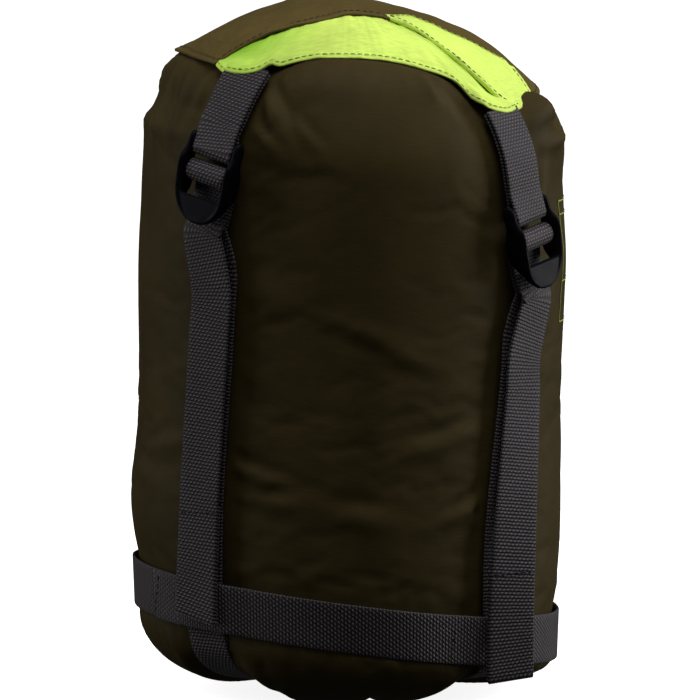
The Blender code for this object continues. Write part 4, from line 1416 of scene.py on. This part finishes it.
def make_mouth():
    """The gathered hem round the mouth, its drawcord, and the top of the filling inside."""
    channel_low, channel_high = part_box("mouth_hem")
    height = (channel_low.z + channel_high.z) / 2
    opening = HEM_OPENING / 2
    columns = steps(math.pi + opening, 3 * math.pi - opening, 150)
    grid = []
    for a in columns:
        pleat = 1 + 0.16 * math.cos(26 * a) + 0.08 * math.sin(9 * a)
        row = []
        for t in steps(0, math.tau, 17)[:-1]:
            radius = HEM_TUBE_RADIUS * (pleat if math.cos(t) > -0.5 else 1.0) * 0.98
            ring = HEM_RING_RADIUS + radius * math.cos(t)
            x = ring * math.sin(a)
            row.append(Vector((x, -ring * math.cos(a), height + radius * math.sin(t) - SLOPE * x)))
        grid.append(row)
    hem = grid_piece("mouth_channel", grid, OLIVE, lambda i, j: (i * 0.0012, j * 0.0016), closed=True)
    face_outwards(hem)
    solidify(hem, 0.0006)
    settle(hem, "sack", "olive_fabric", "mouth_hem")
    lock_low, lock_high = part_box("cord_lock_barrel")
    lock = (lock_low + lock_high) / 2
    spacing, out_y = 0.0018, lock_high.y
    route = (
        (0.0180, 0.0040, 0.20), (0.0215, 0.0024, 0.55), (0.0250, spacing, 0.88), (0.0280, spacing, 1.0),
        (lock.y, spacing, 1.0), (out_y + 0.001, spacing, 1.0), (out_y + 0.004, 0.0030, 1.0),
        (out_y + 0.007, 0.0042, 0.95), (out_y + 0.010, 0.0040, 0.85), (out_y + 0.012, 0.0024, 0.80),
    )  # fmt: skip
    ring = []
    for a in steps(math.pi + HEM_OPENING / 3, 3 * math.pi - HEM_OPENING / 3, 48):
        x = HEM_RING_RADIUS * math.sin(a)
        ring.append((x, -HEM_RING_RADIUS * math.cos(a), height - SLOPE * x))
    right = [(x, y, mix(height, lock.z, share)) for y, x, share in route]
    left = [(-x, y, z) for x, y, z in reversed(right)]
    loop = smooth_curve(ring + right + left + ring[:1], 260)[:-1]
    cord = tube("drawcord_braid", loop, CORD_RADIUS, CORD, closed=True)
    settle(cord, "sack", "cord", "drawcord")
    rows = []
    for share in steps(0.02, 1.0, 12):
        line = []
        for a in [math.tau * k / 48 for k in range(48)]:
            radius = 0.030 * share
            x = radius * math.sin(a)
            lump = 0.0012 * wobble(x / 0.012, radius * math.cos(a) / 0.012, seed=31.0)
            sunk = 0.0045 + 0.0050 * share**2 - lump
            line.append(Vector((x, -radius * math.cos(a), height - sunk - SLOPE * x)))
        rows.append(line)
    top = grid_piece("filling_top", rows, FILL_FABRIC, lambda i, j: (j * 0.002, i * 0.003), closed=True)
    settle(face_outwards(top), "sack", "filling")
    finish_lock()


def finish_lock():
    """Materials for the cord lock, which is shown as the CAD has it, and rounder edges."""
    looks = {"cord_lock_barrel": LOCK_PLASTIC, "cord_lock_plunger": LOCK_PLASTIC, "cord_lock_spring": STEEL}
    for node, material in looks.items():
        obj = frame["nodes"][node]
        for place in obj.material_slots:
            place.material = material
        if material is LOCK_PLASTIC:
            bevel = obj.modifiers.new("soft_edges", "BEVEL")
            bevel.width = 0.0004
            bevel.segments = 2
            bevel.limit_method = "ANGLE"


# ---------------------------------------------------------------- print


def make_print(body):
    """The outline of a blank table printed on the sack's right side, close to its silhouette."""
    graph = bpy.context.evaluated_depsgraph_get()
    body_eval = body.evaluated_get(graph)

    def on_skin(angle, level):
        start = skin_point(angle, level, 0.03)
        hit, place, _, _ = body_eval.ray_cast(start, -radial(angle))
        return (place if hit else skin_point(angle, level)), radial(angle)

    left, right, low, high = math.radians(80), math.radians(124), 0.205, 0.266
    lines = [((left, high), (left, low)), ((right, high), (right, low))]
    for share in (0.0, 0.11, 0.66, 1.0):
        level = mix(high, low, share)
        lines.append(((left, level), (right, level)))
    made = []
    for k, ((a0, l0), (a1, l1)) in enumerate(lines):
        grid = []
        for share in steps(0, 1, 50):
            angle, level = mix(a0, a1, share), mix(l0, l1, share)
            centre, out = on_skin(angle, level)
            along = Vector((0, 0, 1)) if a0 == a1 else tangent(angle)
            side = along.cross(out).normalized() * 0.00035
            grid.append([centre + out * 0.0004 - side, centre + out * 0.0004 + side])
        made.append(grid_piece("print_%d" % k, grid, PRINT, lambda i, j: (j * 0.0007, i * 0.001)))
    table = join("printed_table", made)
    settle(table, "sack", "olive_fabric")
    return table


# ---------------------------------------------------------------- camera, light and floor


CAMERA_DISTANCE = 14.0  # far off, because the photograph shows almost no perspective
PICTURE_WIDTH = 0.3535


def make_camera():
    data = bpy.data.cameras.new("camera")
    camera = link(bpy.data.objects.new("camera", data))
    distance, elevation = CAMERA_DISTANCE, math.radians(6)
    target = Vector((0.0005, 0, 0.1717))
    away = Vector((0, -math.cos(elevation), math.sin(elevation)))
    camera.location = target + away * distance
    camera.rotation_euler = away.to_track_quat("Z", "Y").to_euler()
    data.sensor_width = 36.0
    data.lens = 36.0 * distance / PICTURE_WIDTH
    data.clip_end = 100.0
    bpy.context.scene.camera = camera


def area_light(name, place, width, height, power):
    data = bpy.data.lights.new(name, "AREA")
    data.shape = "RECTANGLE"
    data.size, data.size_y = width, height
    data.energy = power
    lamp = link(bpy.data.objects.new(name, data))
    lamp.location = place
    lamp.rotation_euler = (Vector(place) - Vector((0, 0, 0.2))).to_track_quat("Z", "Y").to_euler()


def make_stage():
    """A pale floor in a white studio, open all round, with soft light from both sides."""
    corners = [[Vector((x, y, 0)) for x in (-4, 4)] for y in (-4, 4)]
    floor = grid_piece("studio_floor", corners, None, lambda i, j: (j, i))
    g = Graph("studio_paper")
    paper = g.ramp(g.noise(60.0, 3.0), [(0.3, (0.87, 0.87, 0.87)), (0.7, (0.90, 0.90, 0.90))])
    away = g.node("ShaderNodeVectorMath", {0: g.place["Object"]}, operation="LENGTH").outputs["Value"]
    g.set(Base_Color=paper, Roughness=0.9, Specular_IOR_Level=0.0)
    g.set(Emission_Color=(1, 1, 1, 1), Emission_Strength=g.span(away, 0.3, 1.0, 0.88, 1.0))
    floor.data.materials.append(g.material)
    floor.visible_diffuse = False
    floor.visible_glossy = False
    make_world()


def make_world():
    """White as seen, but it lights the sack only dimly, from above and from the front."""
    world = bpy.data.worlds.new("studio")
    world.use_nodes = True
    tree = world.node_tree

    def node(kind, inputs, output, **settings):
        made = tree.nodes.new(kind)
        for key, value in settings.items():
            setattr(made, key, value)
        for key, value in inputs.items():
            if isinstance(value, bpy.types.NodeSocket):
                tree.links.new(value, made.inputs[key])
            else:
                made.inputs[key].default_value = value
        return made.outputs[output]

    direction = tree.nodes.new("ShaderNodeTexCoord").outputs["Generated"]
    parts = tree.nodes.new("ShaderNodeSeparateXYZ")
    tree.links.new(direction, parts.inputs["Vector"])
    behind = node("ShaderNodeMath", {0: parts.outputs["Y"], 1: 0.0}, 0, operation="MAXIMUM")
    height = node("ShaderNodeMath", {0: behind, 1: -0.6, 2: parts.outputs["Z"]}, 0, operation="MULTIPLY_ADD")
    bright = node("ShaderNodeMapRange", {"Value": height, 1: -0.1, 2: 0.9, 3: 0.036, 4: 0.31}, 0)
    seen = tree.nodes.new("ShaderNodeLightPath").outputs["Is Camera Ray"]
    strength = node("ShaderNodeMath", {0: bright, 1: seen}, 0, operation="MAXIMUM")
    tree.nodes["Background"].inputs["Color"].default_value = (1, 1, 1, 1)
    tree.links.new(strength, tree.nodes["Background"].inputs["Strength"])
    bpy.context.scene.world = world
    bpy.context.scene.view_settings.view_transform = "Standard"
    area_light("left_softbox", (-1.3, 0.08, 0.45), 0.7, 1.3, 7.5)
    area_light("right_softbox", (1.3, 0.25, 0.45), 0.7, 1.3, 18)
    area_light("top_softbox", (0.15, -0.42, 1.5), 0.8, 0.8, 12.5)


# ---------------------------------------------------------------- assembly

make_camera()
make_stage()
sack_body, sack_base = make_sack()
make_ring()
make_cap_top()
make_gusset("cap_front_lime", "cap_front_gusset", CORNER_ANGLES[0], CORNER_ANGLES[1])
make_gusset("cap_rear_lime", "cap_rear_gusset", CORNER_ANGLES[2], CORNER_ANGLES[3] + math.tau)
make_patch()
buckle_shape = make_buckle_shape()
for strap_index in range(len(STRAPS)):
    make_upper_strap(strap_index)
    make_buckle(buckle_shape, strap_index)
    make_wrap(strap_index)
    make_tail(strap_index)
bpy.data.objects.remove(buckle_shape)
make_compression_webbing("base_webbing_a", "compression_webbing_a", 0, 0.0)
make_compression_webbing("base_webbing_b", "compression_webbing_b", 1, WEB + 0.0004)
make_mouth()
make_print(sack_body)
